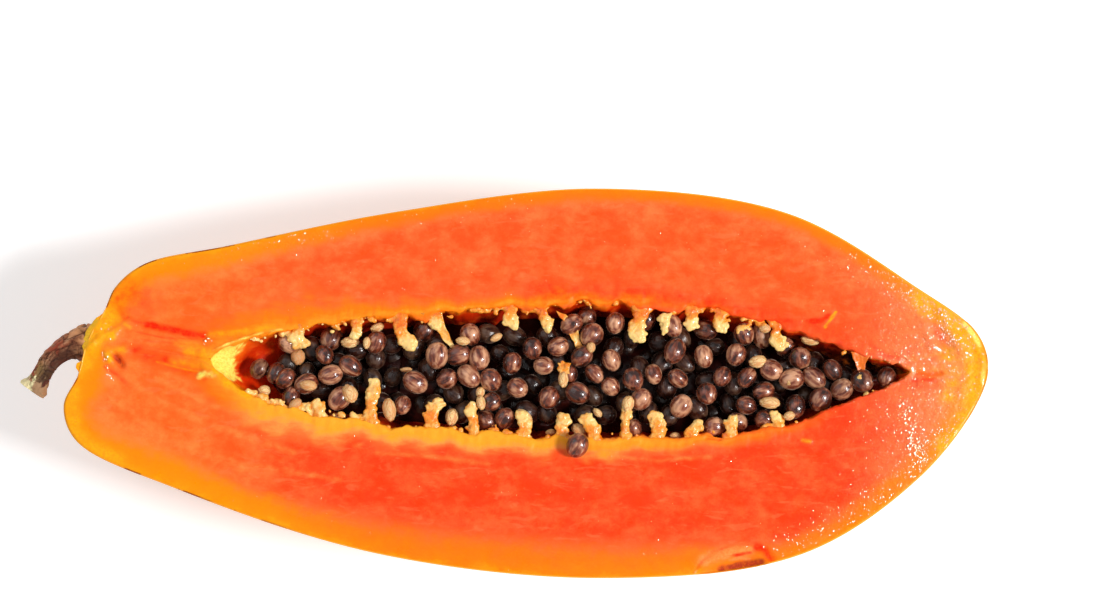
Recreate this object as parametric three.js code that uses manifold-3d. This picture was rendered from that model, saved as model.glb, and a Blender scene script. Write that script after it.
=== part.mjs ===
// Half of a ripe papaya, cut lengthwise and lying on its back with the cut face up.
// Three solids: the half itself (skin, flesh and the placenta strands round its cavity),
// the heap of seeds that fills the cavity, and the dried stem.
//
// Millimetres, +Z up, +X from the stem end to the blossom end. The origin is the centre
// of the small flat spot that the half rests on.

import * as THREE from "three";
import { mergeVertices } from "three/addons/utils/BufferGeometryUtils.js";
import Module from "manifold-3d";

const wasm = await Module();
wasm.setup();

// ---------------------------------------------------------------- driving dimensions

const LENGTH = 270; // stem end to blossom end, without the stem
const WIDTH = 114.4; // across the widest part of the cut face
const ROUNDNESS = 0.985; // depth of the back for each unit of half width
const REST_DEPTH = 1.1; // how far the back is pressed flat where it rests
const REST_AT = 0.55; // where the rest spot lies, as a share of the length
const REST_ACROSS = 0.011; // and its distance from the fruit's axis, as a share of the width
const CAVITY_DEPTH = 22; // deepest part of the seed cavity below the cut face
const CLEARANCE = 0.35; // left between two solids
const HEAP_DEPTH = 5; // of the heap below its top layer of seeds, from the cut face
const SEED_WIDTH = 6.5;
const SEED_LENGTH = 7.5;
const RANDOM_START = 2024;

// ---------------------------------------------------------------- outlines

// Each row is one rib across the cut face: its upper end and its lower end, as shares of
// the length (from the stem end) and of the width (from the fruit's axis).
const FRUIT_RIBS = [
  { upper: [0.024, 0.093], lower: [0.024, 0.093] },
  { upper: [0.041, 0.171], lower: [0.015, 0.01] },
  { upper: [0.053, 0.236], lower: [0, -0.07] },
  { upper: [0.084, 0.296], lower: [0.015, -0.161] },
  { upper: [0.174, 0.343], lower: [0.124, -0.282] },
  { upper: [0.358, 0.432], lower: [0.341, -0.446] },
  { upper: [0.58, 0.4925], lower: [0.591, -0.5075] },
  { upper: [0.786, 0.427], lower: [0.797, -0.446] },
  { upper: [0.925, 0.234], lower: [0.923, -0.254] },
  { upper: [0.988, 0.119], lower: [0.987, -0.065] },
  { upper: [1, 0.031], lower: [1, 0.031] },
];

const CAVITY_RIBS = [
  { upper: [0.158, 0.049], lower: [0.158, 0.049] },
  { upper: [0.2, 0.1], lower: [0.176, -0.006] },
  { upper: [0.287, 0.142], lower: [0.257, -0.083] },
  { upper: [0.415, 0.171], lower: [0.419, -0.132] },
  { upper: [0.601, 0.191], lower: [0.601, -0.153] },
  { upper: [0.75, 0.15], lower: [0.75, -0.135] },
  { upper: [0.861, 0.062], lower: [0.851, -0.062] },
  { upper: [0.915, 0.018], lower: [0.915, 0.018] },
];

// Placenta strands that hang over the seeds: place along the length, side of the cavity
// (1 upper, -1 lower), reach in from the rim and radius.
const STRANDS = [
  { at: 0.277, side: -1, reach: 3.5, radius: 1.7 },
  { at: 0.332, side: -1, reach: 12, radius: 2 },
  { at: 0.398, side: -1, reach: 8, radius: 2.3 },
  { at: 0.444, side: -1, reach: 8, radius: 1.6 },
  { at: 0.497, side: -1, reach: 6, radius: 2 },
  { at: 0.539, side: -1, reach: 6, radius: 2.2 },
  { at: 0.574, side: -1, reach: 6.5, radius: 2.1 },
  { at: 0.608, side: -1, reach: 9, radius: 1.5 },
  { at: 0.642, side: -1, reach: 7, radius: 2.5 },
  { at: 0.679, side: -1, reach: 4.5, radius: 1.9 },
  { at: 0.72, side: -1, reach: 5, radius: 1.9 },
  { at: 0.773, side: -1, reach: 4, radius: 1.5 },
  { at: 0.255, side: 1, reach: 5, radius: 2 },
  { at: 0.315, side: 1, reach: 5.5, radius: 1.4 },
  { at: 0.362, side: 1, reach: 10, radius: 2.5 },
  { at: 0.4, side: 1, reach: 4, radius: 1.8 },
  { at: 0.48, side: 1, reach: 5.5, radius: 2 },
  { at: 0.515, side: 1, reach: 7, radius: 1.7 },
  { at: 0.624, side: 1, reach: 10, radius: 2.8 },
  { at: 0.68, side: 1, reach: 5, radius: 1.9 },
  { at: 0.712, side: 1, reach: 4.5, radius: 2.2 },
  { at: 0.772, side: 1, reach: 6.5, radius: 2 },
];

// The stem's path from its flared foot, in millimetres from the foot, with its radius.
const STEM_PATH = [
  { at: [3, 0.4, 0], radius: 6.4 },
  { at: [-1.5, -0.2, 0], radius: 6 },
  { at: [-5, -0.9, 0.4], radius: 4.4 },
  { at: [-8.8, -3, 0.6], radius: 3.7 },
  { at: [-11.7, -6, 0.4], radius: 3.3 },
  { at: [-13.8, -9.5, 0], radius: 3.1 },
  { at: [-15.9, -13, -0.4], radius: 3.3 },
  { at: [-17.6, -15.2, -0.6], radius: 2.7 },
];

// ---------------------------------------------------------------- solids and meshes

// A closed three.js geometry as a manifold-3d solid.
function solidOf(geometry) {
  geometry.deleteAttribute("normal");
  geometry.deleteAttribute("uv");
  const merged = mergeVertices(geometry, 1e-4);
  return new wasm.Manifold(
    new wasm.Mesh({
      numProp: 3,
      vertProperties: new Float32Array(merged.getAttribute("position").array),
      triVerts: new Uint32Array(merged.index.array),
    }),
  );
}

// A solid as a named mesh, without the scraps that a cut has left loose.
function meshOf(name, solid, material) {
  const bodies = solid.decompose();
  const largest = bodies.reduce((a, b) => (b.volume() > a.volume() ? b : a));
  const { vertProperties, triVerts } = largest.getMesh();
  const geometry = new THREE.BufferGeometry();
  geometry.setAttribute("position", new THREE.BufferAttribute(vertProperties, 3));
  geometry.setIndex(new THREE.BufferAttribute(triVerts, 1));
  geometry.computeVertexNormals();
  const mesh = new THREE.Mesh(geometry, material);
  mesh.name = name;
  return mesh;
}

// A sphere with its vertices moved by place(ring, step): ring runs from 0 at one pole to 1
// at the other, and step counts the vertices round each ring.
function wrapSphere(around, along, place) {
  const sphere = new THREE.SphereGeometry(1, around, along);
  const position = sphere.getAttribute("position");
  for (let k = 0; k < position.count; k++) {
    const ring = Math.floor(k / (around + 1)) / along;
    const step = (k % (around + 1)) % around;
    position.setXYZ(k, ...place(ring, step).toArray());
  }
  return solidOf(sphere);
}

// An ellipsoid of a few faces: half sizes, turn and centre.
function pebble(halfSizes, turn, centre, around = 5, along = 4) {
  const sphere = new THREE.SphereGeometry(1, around, along);
  sphere.scale(...halfSizes);
  sphere.applyQuaternion(new THREE.Quaternion().setFromEuler(turn));
  sphere.translate(...centre.toArray());
  return solidOf(sphere);
}

// Random numbers from 0 to 1 that are the same in each run.
function draws(start) {
  let state = start >>> 0;
  return () => {
    state = (Math.imul(state, 1664525) + 1013904223) >>> 0;
    return state / 2 ** 32;
  };
}

// ---------------------------------------------------------------- the ribbed forms

const alongOf = (share) => (share - REST_AT) * LENGTH;
const acrossOf = (share) => (share - REST_ACROSS) * WIDTH;

// A smooth closed outline through the ribs' ends. The function that it returns gives the
// rib at t, from 0 to 1: its middle, and the half chord from there to its upper end.
function outline(ribs) {
  const point = ([along, across]) => new THREE.Vector3(alongOf(along), acrossOf(across), 0);
  const upper = ribs.map((rib) => point(rib.upper));
  const lower = ribs.slice(1, -1).map((rib) => point(rib.lower));
  const points = [...upper, ...lower.reverse()];
  const curve = new THREE.CatmullRomCurve3(points, true, "centripetal");
  return (t) => {
    const high = curve.getPoint(t / 2);
    const low = curve.getPoint(1 - t / 2);
    return {
      middle: high.clone().add(low).multiplyScalar(0.5),
      chord: high.sub(low).multiplyScalar(0.5),
    };
  };
}

const fruitRib = outline(FRUIT_RIBS);
const cavityRib = outline(CAVITY_RIBS);

// The belly hangs a little nearer to the stem end than the widest part of the cut face,
// which lets the half lie level.
const BELLY_SHIFT = 0.15;
function backDepth(t) {
  const shift = 1 + BELLY_SHIFT * Math.sin(Math.PI * t) * Math.cos(Math.PI * t);
  return fruitRib(t).chord.length() * ROUNDNESS * shift;
}

const steps = [...Array(101).keys()].map((k) => k / 100);
const CUT_Z = Math.max(...steps.map(backDepth)) - REST_DEPTH; // height of the cut face

// The half: step runs down round the back from the upper edge to the lower one, and then
// across the cut face.
const HALF_RINGS = 60;
const BACK_STEPS = 20;
const FACE_STEPS = 4;
const LOBES = 5;
const LOBE_HEIGHT = 0.012; // as a share of the radius
function halfPoint(ring, step) {
  const { middle, chord } = fruitRib(ring);
  if (step > BACK_STEPS) {
    const across = -Math.cos((Math.PI * (step - BACK_STEPS)) / FACE_STEPS);
    return middle.addScaledVector(chord, across).setZ(CUT_Z);
  }
  const angle = (Math.PI * step) / BACK_STEPS;
  const lobe = 1 + LOBE_HEIGHT * Math.cos(LOBES * angle) * Math.sin(angle);
  middle.addScaledVector(chord, Math.cos(angle) * lobe);
  return middle.setZ(CUT_Z - backDepth(ring) * lobe * Math.sin(angle));
}

// The cavity, shrunk by inset: step runs down one wall and up the other, and then across a
// lid above the cut face.
const CAVITY_RINGS = 44;
const WALL_STEPS = 10;
const LID_STEPS = 6;
const LID_HEIGHT = 6;
const END_BLUNTNESS = 0.7; // below 1, the cavity's floor drops steeply at its two ends
const RIM_WAVE = 0.5; // how ragged the rim is, to either side
const RIM_PITCHES = [0.33, 0.6]; // of its two waves, in radians for each millimetre
function rimWave(x, side) {
  const [slow, quick] = RIM_PITCHES;
  return RIM_WAVE * (Math.sin(slow * x + side) + 0.7 * Math.sin(quick * x - side));
}

function cavityPoint(ring, step, inset) {
  const { middle, chord } = cavityRib(ring);
  const half = chord.length();
  if (ring === 0 || ring === 1) {
    middle.x += ring === 0 ? inset : -inset;
    return middle.setZ(CUT_Z);
  }
  const fullness = Math.sin(Math.PI * ring);
  const onLid = step > WALL_STEPS;
  const angle = onLid
    ? Math.PI * (1 - (step - WALL_STEPS - 1) / (LID_STEPS - 1))
    : (Math.PI * step) / WALL_STEPS;
  const side = Math.cos(angle);
  const reach = Math.max(half - inset + fullness * rimWave(middle.x, side), 0.2);
  middle.addScaledVector(chord, (side * reach) / half);
  const wall = -(CAVITY_DEPTH * fullness ** END_BLUNTNESS - inset) * Math.sin(angle);
  return middle.setZ(CUT_Z + (onLid ? LID_HEIGHT : wall));
}

function cavity(inset) {
  const around = WALL_STEPS + LID_STEPS + 1;
  return wrapSphere(around, CAVITY_RINGS, (ring, step) => cavityPoint(ring, step, inset));
}

// A block as long and as wide as the fruit, with its top at the given height.
const BLOCK_DEPTH = 40;
function blockBelow(top) {
  const block = new THREE.BoxGeometry(2 * LENGTH, 2 * WIDTH, BLOCK_DEPTH);
  return solidOf(block.translate(0, 0, top - BLOCK_DEPTH / 2));
}

// ---------------------------------------------------------------- strands and seeds

// A strand's line across the cavity, from inside the wall to its tip over the seeds.
const STRAND_ROOT = 3; // length inside the wall
const STRAND_DEPTH = 1.1; // of its middle, below the cut face
function strandLine({ at, side, reach }) {
  const miss = (t) => Math.abs(cavityRib(t).middle.x - alongOf(at));
  const nearest = steps.reduce((best, t) => (miss(t) < miss(best) ? t : best));
  const { middle, chord } = cavityRib(nearest);
  const rim = middle.y + side * chord.length();
  const lean = 0.18 * Math.sin(40 * at); // so that no two run alike
  const ends = [-STRAND_ROOT, reach].map(
    (inward) =>
      new THREE.Vector3(alongOf(at) + lean * inward, rim - side * inward, CUT_Z - STRAND_DEPTH),
  );
  return new THREE.Line3(...ends);
}

// The strand itself: a blunt finger with its tip a little raised.
const STRAND_RISE = 0.12;
const STRAND_THICKNESS = 3;
function strand(row) {
  const line = strandLine(row);
  const { x, y } = line.delta(new THREE.Vector3());
  const turn = new THREE.Euler(0, -STRAND_RISE, Math.atan2(y, x), "ZYX");
  const halfSizes = [line.distance() / 2, row.radius, STRAND_THICKNESS / 2];
  return pebble(halfSizes, turn, line.getCenter(new THREE.Vector3()), 8, 6);
}

// One seed has dropped on the flesh beside the cavity.
const STRAY_PLACE = new THREE.Vector3(alongOf(0.555), acrossOf(-0.1735), CUT_Z + 2.3);
const STRAY_TURN = new THREE.Euler(0.2, 0.15, 1.1);
const seedHalfSizes = (size) => [SEED_LENGTH, SEED_WIDTH, SEED_WIDTH].map((s) => (s * size) / 2);
const straySeed = () => pebble(seedHalfSizes(1), STRAY_TURN, STRAY_PLACE, 8, 6);

// Whether a seed of the top layer would lie clear of the strands and of the stray seed.
function clearOverhead(place) {
  const near = new THREE.Vector3();
  const gap = SEED_LENGTH / 2 + CLEARANCE;
  const clearOf = (row) => {
    const line = strandLine(row);
    [line.start, line.end].forEach((end) => end.setZ(0));
    return line.closestPointToPoint(place, true, near).distanceTo(place) > row.radius + gap;
  };
  const stray = STRAY_PLACE.clone().setZ(0);
  return STRANDS.every(clearOf) && stray.distanceTo(place) > gap + SEED_LENGTH / 2;
}

// Places for one layer of seeds: darts thrown over the cavity away from its shallow ends,
// kept where they land clear of its rim, of each other and of the layer above.
const DARTS = 5000;
const SEED_SPACING = 6;
const LAYER_SPACING = 3.9;
const FIRST_RIB = 0.13;
const LAST_RIB = 0.89;
function scatter(random, above, edge) {
  const kept = [];
  for (let dart = 0; dart < DARTS; dart++) {
    const [t, v, lift, ...spin] = Array.from({ length: 6 }, random);
    const { middle, chord } = cavityRib(THREE.MathUtils.lerp(FIRST_RIB, LAST_RIB, t));
    const side = 2 * v - 1;
    const place = middle.addScaledVector(chord, side);
    const inside = chord.length() * (1 - Math.abs(side)) > edge;
    const clearOf = (seeds, least) =>
      seeds.every((other) => other.place.distanceTo(place) > least);
    const free = clearOf(kept, SEED_SPACING) && clearOf(above, LAYER_SPACING);
    if (inside && free && (above.length > 0 || clearOverhead(place))) {
      kept.push({ place, lift, spin });
    }
  }
  return kept;
}

const random = draws(RANDOM_START);
const topSeeds = scatter(random, [], 0.7 * SEED_WIDTH);
const lowSeeds = scatter(random, topSeeds, 0.9 * SEED_WIDTH);

// A seed with its middle between two depths below the cut face.
function seed({ place, lift, spin }, lowest, highest) {
  const size = THREE.MathUtils.lerp(0.9, 1.1, lift);
  const depth = THREE.MathUtils.lerp(lowest, highest, lift);
  const turn = new THREE.Euler(spin[0] - 0.5, spin[1] - 0.5, spin[2] * Math.PI);
  return pebble(seedHalfSizes(size), turn, place.clone().setZ(CUT_Z - depth));
}

// ---------------------------------------------------------------- the three solids

// A shallow scoop is missing from the edge of the cut face.
const NICK_HALF_SIZES = [11, 4.6, 2.6];
const NICK_TURN = new THREE.Euler(0, 0, 0.17);
const NICK_PLACE = new THREE.Vector3(alongOf(0.721), acrossOf(-0.492), CUT_Z);

function papayaHalf() {
  const around = BACK_STEPS + FACE_STEPS;
  const body = wrapSphere(around, HALF_RINGS, halfPoint);
  const nick = pebble(NICK_HALF_SIZES, NICK_TURN, NICK_PLACE, 12, 8);
  const bowl = body.subtract(blockBelow(0)).subtract(cavity(0)).subtract(nick);
  return wasm.Manifold.union([bowl, ...STRANDS.map(strand), straySeed()]);
}

function seedHeap() {
  const core = cavity(CLEARANCE).intersect(blockBelow(CUT_Z - HEAP_DEPTH));
  const top = topSeeds.map((place) => seed(place, 3.6, 2.2));
  const low = lowSeeds.map((place) => seed(place, 7.2, 6.8));
  return wasm.Manifold.union([core, ...top, ...low]);
}

// The stem: round, a little three-sided and twisted, and set against the half.
const STEM_FOOT = new THREE.Vector3(alongOf(0.024), acrossOf(0.096), CUT_Z - 5.6);
const STEM_WRINKLE = 0.09;
const STEM_TWIST = 9;
const STEM_CAP = 0.06; // share of the rings that round off each end
const STEM_STEPS = 12;
const STEM_RINGS = 16;
function stem(body) {
  const path = new THREE.CatmullRomCurve3(
    STEM_PATH.map(({ at }) => new THREE.Vector3(...at)),
  );
  const radii = new THREE.CatmullRomCurve3(
    STEM_PATH.map(({ radius }, k) => new THREE.Vector3(k, radius, 0)),
  );
  const tube = wrapSphere(STEM_STEPS, STEM_RINGS, (ring, step) => {
    const share = THREE.MathUtils.clamp((ring - STEM_CAP) / (1 - 2 * STEM_CAP), 0, 1);
    const out = path.getTangent(share);
    const across = new THREE.Vector3(-out.y, out.x, 0).normalize();
    const angle = (-2 * Math.PI * step) / STEM_STEPS;
    const wrinkle = 1 + STEM_WRINKLE * Math.cos(3 * angle + STEM_TWIST * share);
    const cap = Math.min(1, Math.sqrt(Math.min(ring, 1 - ring) / STEM_CAP));
    const radius = radii.getPoint(share).y * wrinkle * cap;
    return path
      .getPoint(share)
      .add(STEM_FOOT)
      .addScaledVector(across, radius * Math.cos(angle))
      .add(new THREE.Vector3(0, 0, radius * Math.sin(angle)));
  });
  return tube.subtract(body).translate([-CLEARANCE, 0, 0]);
}

const skinAndFlesh = new THREE.MeshStandardMaterial({ color: 0xff6a2a, roughness: 0.45 });
const darkSeed = new THREE.MeshStandardMaterial({ color: 0x3c2a26, roughness: 0.3 });
const driedStem = new THREE.MeshStandardMaterial({ color: 0x7a5a40, roughness: 0.8 });

const half = papayaHalf();
const papaya = new THREE.Group();
papaya.add(
  meshOf("papaya_half", half, skinAndFlesh),
  meshOf("seed_heap", seedHeap(), darkSeed),
  meshOf("stem", stem(half), driedStem),
);

export default papaya;
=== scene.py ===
"""Half of a ripe papaya, cut lengthwise and lying on its back with the cut face up.

The flesh and its peel, the seeds in their cavity, the placenta threads that hang over
them and the dried stem are modelled over the CAD frame, in the same millimetres.
"""

import logging
import math
from dataclasses import dataclass, field
from enum import Enum
from typing import Callable, Sequence

import bpy
import numpy as np
from mathutils import Euler, Matrix, Vector, kdtree, noise


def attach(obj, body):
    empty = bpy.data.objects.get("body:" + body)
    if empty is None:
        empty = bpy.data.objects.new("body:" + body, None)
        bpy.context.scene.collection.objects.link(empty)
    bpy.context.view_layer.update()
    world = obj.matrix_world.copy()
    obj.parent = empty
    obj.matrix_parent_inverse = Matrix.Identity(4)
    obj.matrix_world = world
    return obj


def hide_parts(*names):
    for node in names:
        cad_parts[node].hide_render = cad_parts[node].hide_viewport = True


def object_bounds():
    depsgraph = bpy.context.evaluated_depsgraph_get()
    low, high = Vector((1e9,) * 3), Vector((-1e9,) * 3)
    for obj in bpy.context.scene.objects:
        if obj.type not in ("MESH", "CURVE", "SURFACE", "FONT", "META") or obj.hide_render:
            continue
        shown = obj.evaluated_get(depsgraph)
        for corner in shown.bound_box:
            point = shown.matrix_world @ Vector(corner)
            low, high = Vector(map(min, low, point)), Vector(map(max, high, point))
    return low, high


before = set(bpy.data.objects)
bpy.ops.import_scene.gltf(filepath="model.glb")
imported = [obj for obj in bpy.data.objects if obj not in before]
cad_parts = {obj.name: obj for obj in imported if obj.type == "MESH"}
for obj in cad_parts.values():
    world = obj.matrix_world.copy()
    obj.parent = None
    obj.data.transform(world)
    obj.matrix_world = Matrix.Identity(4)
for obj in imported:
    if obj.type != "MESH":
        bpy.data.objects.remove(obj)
CAD_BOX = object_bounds()

log = logging.getLogger("papaya")
MM = 0.001  # one millimetre, in Blender's metres
WELD_GAP = 0.002  # vertices closer than this are merged, in millimetres
Pair = tuple[float, float]
Triple = tuple[float, float, float]
Quad = tuple[float, float, float, float]
Colour = Quad
Stops = tuple[tuple[float, Colour], ...]
Table = tuple[tuple[float, ...], tuple[float, ...]]  # places and the values there
Ribs = tuple[Quad, ...]  # shares along and across of each rib's ends
Array = np.ndarray
Piece = bpy.types.Object
Socket = bpy.types.NodeSocket
Sockets = dict[str | int, object]  # values or outputs for a node's inputs
Tree = bpy.types.NodeTree


# ---- small helpers


def linear(value: float) -> float:
    """Undo the screen's gamma on a value from 0 to 1."""
    return value / 12.92 if value <= 0.04045 else ((value + 0.055) / 1.055) ** 2.4


def paint(red: float, green: float, blue: float) -> Colour:
    """Turn a screen colour, 0 to 255, into the linear one that a shader takes."""
    return (linear(red / 255), linear(green / 255), linear(blue / 255), 1.0)


def stops(*rows: Quad) -> Stops:
    """Turn places and screen colours into a colour ramp's stops."""
    return tuple((place, paint(*screen)) for place, *screen in rows)


def lengths(rows: Array) -> Array:
    """Find the length of each row."""
    return np.linalg.norm(rows, axis=-1)


def from_segment(places: Array, a: Array, b: Array) -> Array:
    """Find how far each place is from the straight line between two points.

    Args:
        places: One place, or an array of shape (n, 2).
        a: One end.
        b: The other end.

    Returns:
        Distances.
    """
    run = b - a
    share = np.clip((places - a) @ run / (run @ run), 0, 1)
    return lengths(places - a - share[..., None] * run)


def smooth(values: Array, low: float, high: float) -> Array:
    """Ease from 0 at low to 1 at high, for each value."""
    share = np.clip((values - low) / (high - low), 0.0, 1.0)
    return share * share * (3.0 - 2.0 * share)


def rough(points: Array, pitch: Sequence[float] | float, start: float, octaves: int = 3) -> Array:
    """Noise at each point, mostly from -1 to 1; the pitch is the bumps' size, or one for each axis."""
    scaled = points / np.asarray(pitch, float) + start
    return np.array([noise.fractal(p, 0.9, 2.0, octaves) for p in scaled.tolist()])


def select(*pieces: Piece) -> None:
    """Select these objects alone, the first as the active one.

    Args:
        *pieces: The objects.
    """
    bpy.ops.object.select_all(action="DESELECT")
    for piece in pieces:
        piece.select_set(True)
    bpy.context.view_layer.objects.active = pieces[0]


def primitive(shape: str, **settings: object) -> Piece:
    """Add one of Blender's mesh shapes, and nothing else is selected."""
    bpy.ops.object.select_all(action="DESELECT")
    getattr(bpy.ops.mesh, f"primitive_{shape}_add")(**settings)
    return bpy.context.object


def edit(piece: Piece, *steps: Callable[[], object]) -> None:
    """Take steps in edit mode on a whole mesh.

    Args:
        piece: A mesh object.
        *steps: Functions to call, in order.
    """
    select(piece)
    bpy.ops.object.mode_set(mode="EDIT")
    bpy.ops.mesh.select_all(action="SELECT")
    for step in steps:
        step()
    bpy.ops.object.mode_set(mode="OBJECT")


def read(rows: bpy.types.bpy_prop_collection, key: str) -> Array:
    """Read one vector from each row of a mesh's data.

    Args:
        rows: Such as its vertices.
        key: The vector's name.

    Returns:
        Array of shape (n, 3).
    """
    flat = np.empty(len(rows) * 3, np.float32)
    rows.foreach_get(key, flat)
    return flat.reshape(-1, 3).astype(float)


def coordinates(piece: Piece) -> Array:
    """Read a mesh's vertices, in millimetres."""
    return read(piece.data.vertices, "co") / MM


def move_vertices(piece: Piece, points: Array) -> None:
    """Lay a mesh's vertices on new points, in millimetres."""
    piece.data.vertices.foreach_set("co", (np.asarray(points) * MM).ravel())
    piece.data.update()


def search_tree(points: Array) -> kdtree.KDTree:
    """Build a tree that finds the nearest of some points.

    Args:
        points: Array of shape (n, 2) or (n, 3).

    Returns:
        The tree.
    """
    tree = kdtree.KDTree(len(points))
    for k, point in enumerate(np.pad(points, ((0, 0), (0, 3 - points.shape[1]))).tolist()):
        tree.insert(point, k)
    tree.balance()
    return tree


def mark(piece: Piece, name: str, values: Array) -> None:
    """Keep one number, or one vector, for each vertex.

    Args:
        piece: A mesh object.
        name: The attribute's name.
        values: Array of shape (n,) or (n, 3).
    """
    kind, key = ("FLOAT", "value") if values.ndim == 1 else ("FLOAT_VECTOR", "vector")
    attribute = piece.data.attributes.new(name, kind, "POINT")
    attribute.data.foreach_set(key, values.astype(np.float32).ravel())


def apply_modifier(piece: Piece, kind: str, **settings: object) -> None:
    """Put a modifier on a mesh and apply it.

    Args:
        piece: A mesh object.
        kind: The modifier's type, such as SOLIDIFY.
        **settings: Values for the modifier.
    """
    select(piece)
    modifier = piece.modifiers.new(kind.title(), kind)
    for key, value in settings.items():
        setattr(modifier, key, value)
    bpy.ops.object.modifier_apply(modifier=modifier.name)


def lay_grid(name: str, place: Array, **marks: Array) -> Piece:
    """Add a grid and lay it over a table of points, then weld it.

    Args:
        name: The new object's name.
        place: Array of shape (rows, columns, 3) in millimetres.
        **marks: Numbers or vectors to keep, in tables of the same rows and columns.

    Returns:
        The new object.
    """
    rows, columns = place.shape[:2]
    piece = primitive("grid", x_subdivisions=columns - 1, y_subdivisions=rows - 1, size=2)
    piece.name = piece.data.name = name
    flat = coordinates(piece) * MM
    column = np.rint((flat[:, 0] + 1) / 2 * (columns - 1)).astype(int)
    row = np.rint((flat[:, 1] + 1) / 2 * (rows - 1)).astype(int)
    move_vertices(piece, place[row, column])
    for key, values in marks.items():
        mark(piece, key, values[row, column])
    edit(
        piece,
        lambda: bpy.ops.mesh.remove_doubles(threshold=WELD_GAP * MM),
        bpy.ops.mesh.normals_make_consistent,
    )
    bpy.ops.object.shade_smooth()
    return piece


def copies(name: str, pattern: Piece, places: Sequence[Matrix]) -> Piece:
    """Copy one modelled shape to many places, as one mesh, and remove the pattern.

    Args:
        name: The new object's name.
        pattern: The shape to copy, about the origin, in millimetres.
        places: One matrix in millimetres for each copy.

    Returns:
        The new object, with the shape's own coordinates kept in the attribute "own" and
        each copy's number from 0 to 1 in "copy".
    """
    shape = np.array([tuple(v.co) for v in pattern.data.vertices])
    faces = [tuple(f.vertices) for f in pattern.data.polygons]
    turned = [shape @ np.array(m.to_3x3()).T + np.array(m.translation) for m in places]
    mesh = bpy.data.meshes.new(name)
    count = len(shape)
    every = [tuple(v + k * count for v in f) for k in range(len(places)) for f in faces]
    mesh.from_pydata((np.concatenate(turned) * MM).tolist(), [], every)
    piece = bpy.data.objects.new(name, mesh)
    bpy.context.collection.objects.link(piece)
    mark(piece, "own", np.tile(shape, (len(places), 1)))
    mark(piece, "copy", np.repeat(np.random.default_rng(7).random(len(places)), count))
    bpy.data.objects.remove(pattern)
    mesh.polygons.foreach_set("use_smooth", np.ones(len(mesh.polygons), bool))
    mesh.update()
    return piece


def settle(piece: Piece, finish: bpy.types.Material, slot: str, *nodes: str) -> None:
    """Give a finished piece its material, its body and the nodes it stands for.

    Args:
        piece: The piece.
        finish: Its material.
        slot: The record's material slot; not used.
        *nodes: CAD nodes that it replaces.
    """
    piece.data.materials.clear()
    piece.data.materials.append(finish)
    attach(piece, "root")
    if nodes:
        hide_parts(*nodes)
    log.info("%s: %d faces", piece.name, len(piece.data.polygons))


# ---- the fruit's form


class Spline:
    """A centripetal Catmull-Rom spline."""

    def __init__(self, points: Sequence[Sequence[float]], closed: bool) -> None:
        """Keep the points.

        Args:
            points: The points that the spline goes through.
            closed: Whether it comes back to its first point.
        """
        self.closed = closed
        core = np.asarray(points, float)
        if closed:
            self.points = np.vstack([core[-1:], core, core[:2]])
        else:
            self.points = np.vstack([2 * core[0] - core[1], core, 2 * core[-1] - core[-2]])
        self.spans = len(core) if closed else len(core) - 1

    def at(self, share: Array | float) -> Array:
        """Find points on the spline.

        Args:
            share: Places from 0 to 1, each span of the spline taking an equal share.

        Returns:
            Array of shape (n, dimensions).
        """
        place = np.clip(np.atleast_1d(np.asarray(share, float)), 0, 1) * self.spans
        first = np.minimum(place.astype(int), self.spans - 1)
        weight = (place - first)[:, None]
        a, b, c, d = (self.points[first + k] for k in range(4))

        def gap(p: Array, q: Array) -> Array:
            """Square root of the distance between points."""
            return np.maximum(((p - q) ** 2).sum(axis=1) ** 0.25, 1e-4)[:, None]

        before, here, after = gap(a, b), gap(b, c), gap(c, d)
        leave = ((b - a) / before - (c - a) / (before + here) + (c - b) / here) * here
        arrive = ((c - b) / here - (d - b) / (here + after) + (d - c) / after) * here
        square = -3 * b + 3 * c - 2 * leave - arrive
        cube = 2 * b - 2 * c + leave + arrive
        return b + leave * weight + square * weight**2 + cube * weight**3


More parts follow.
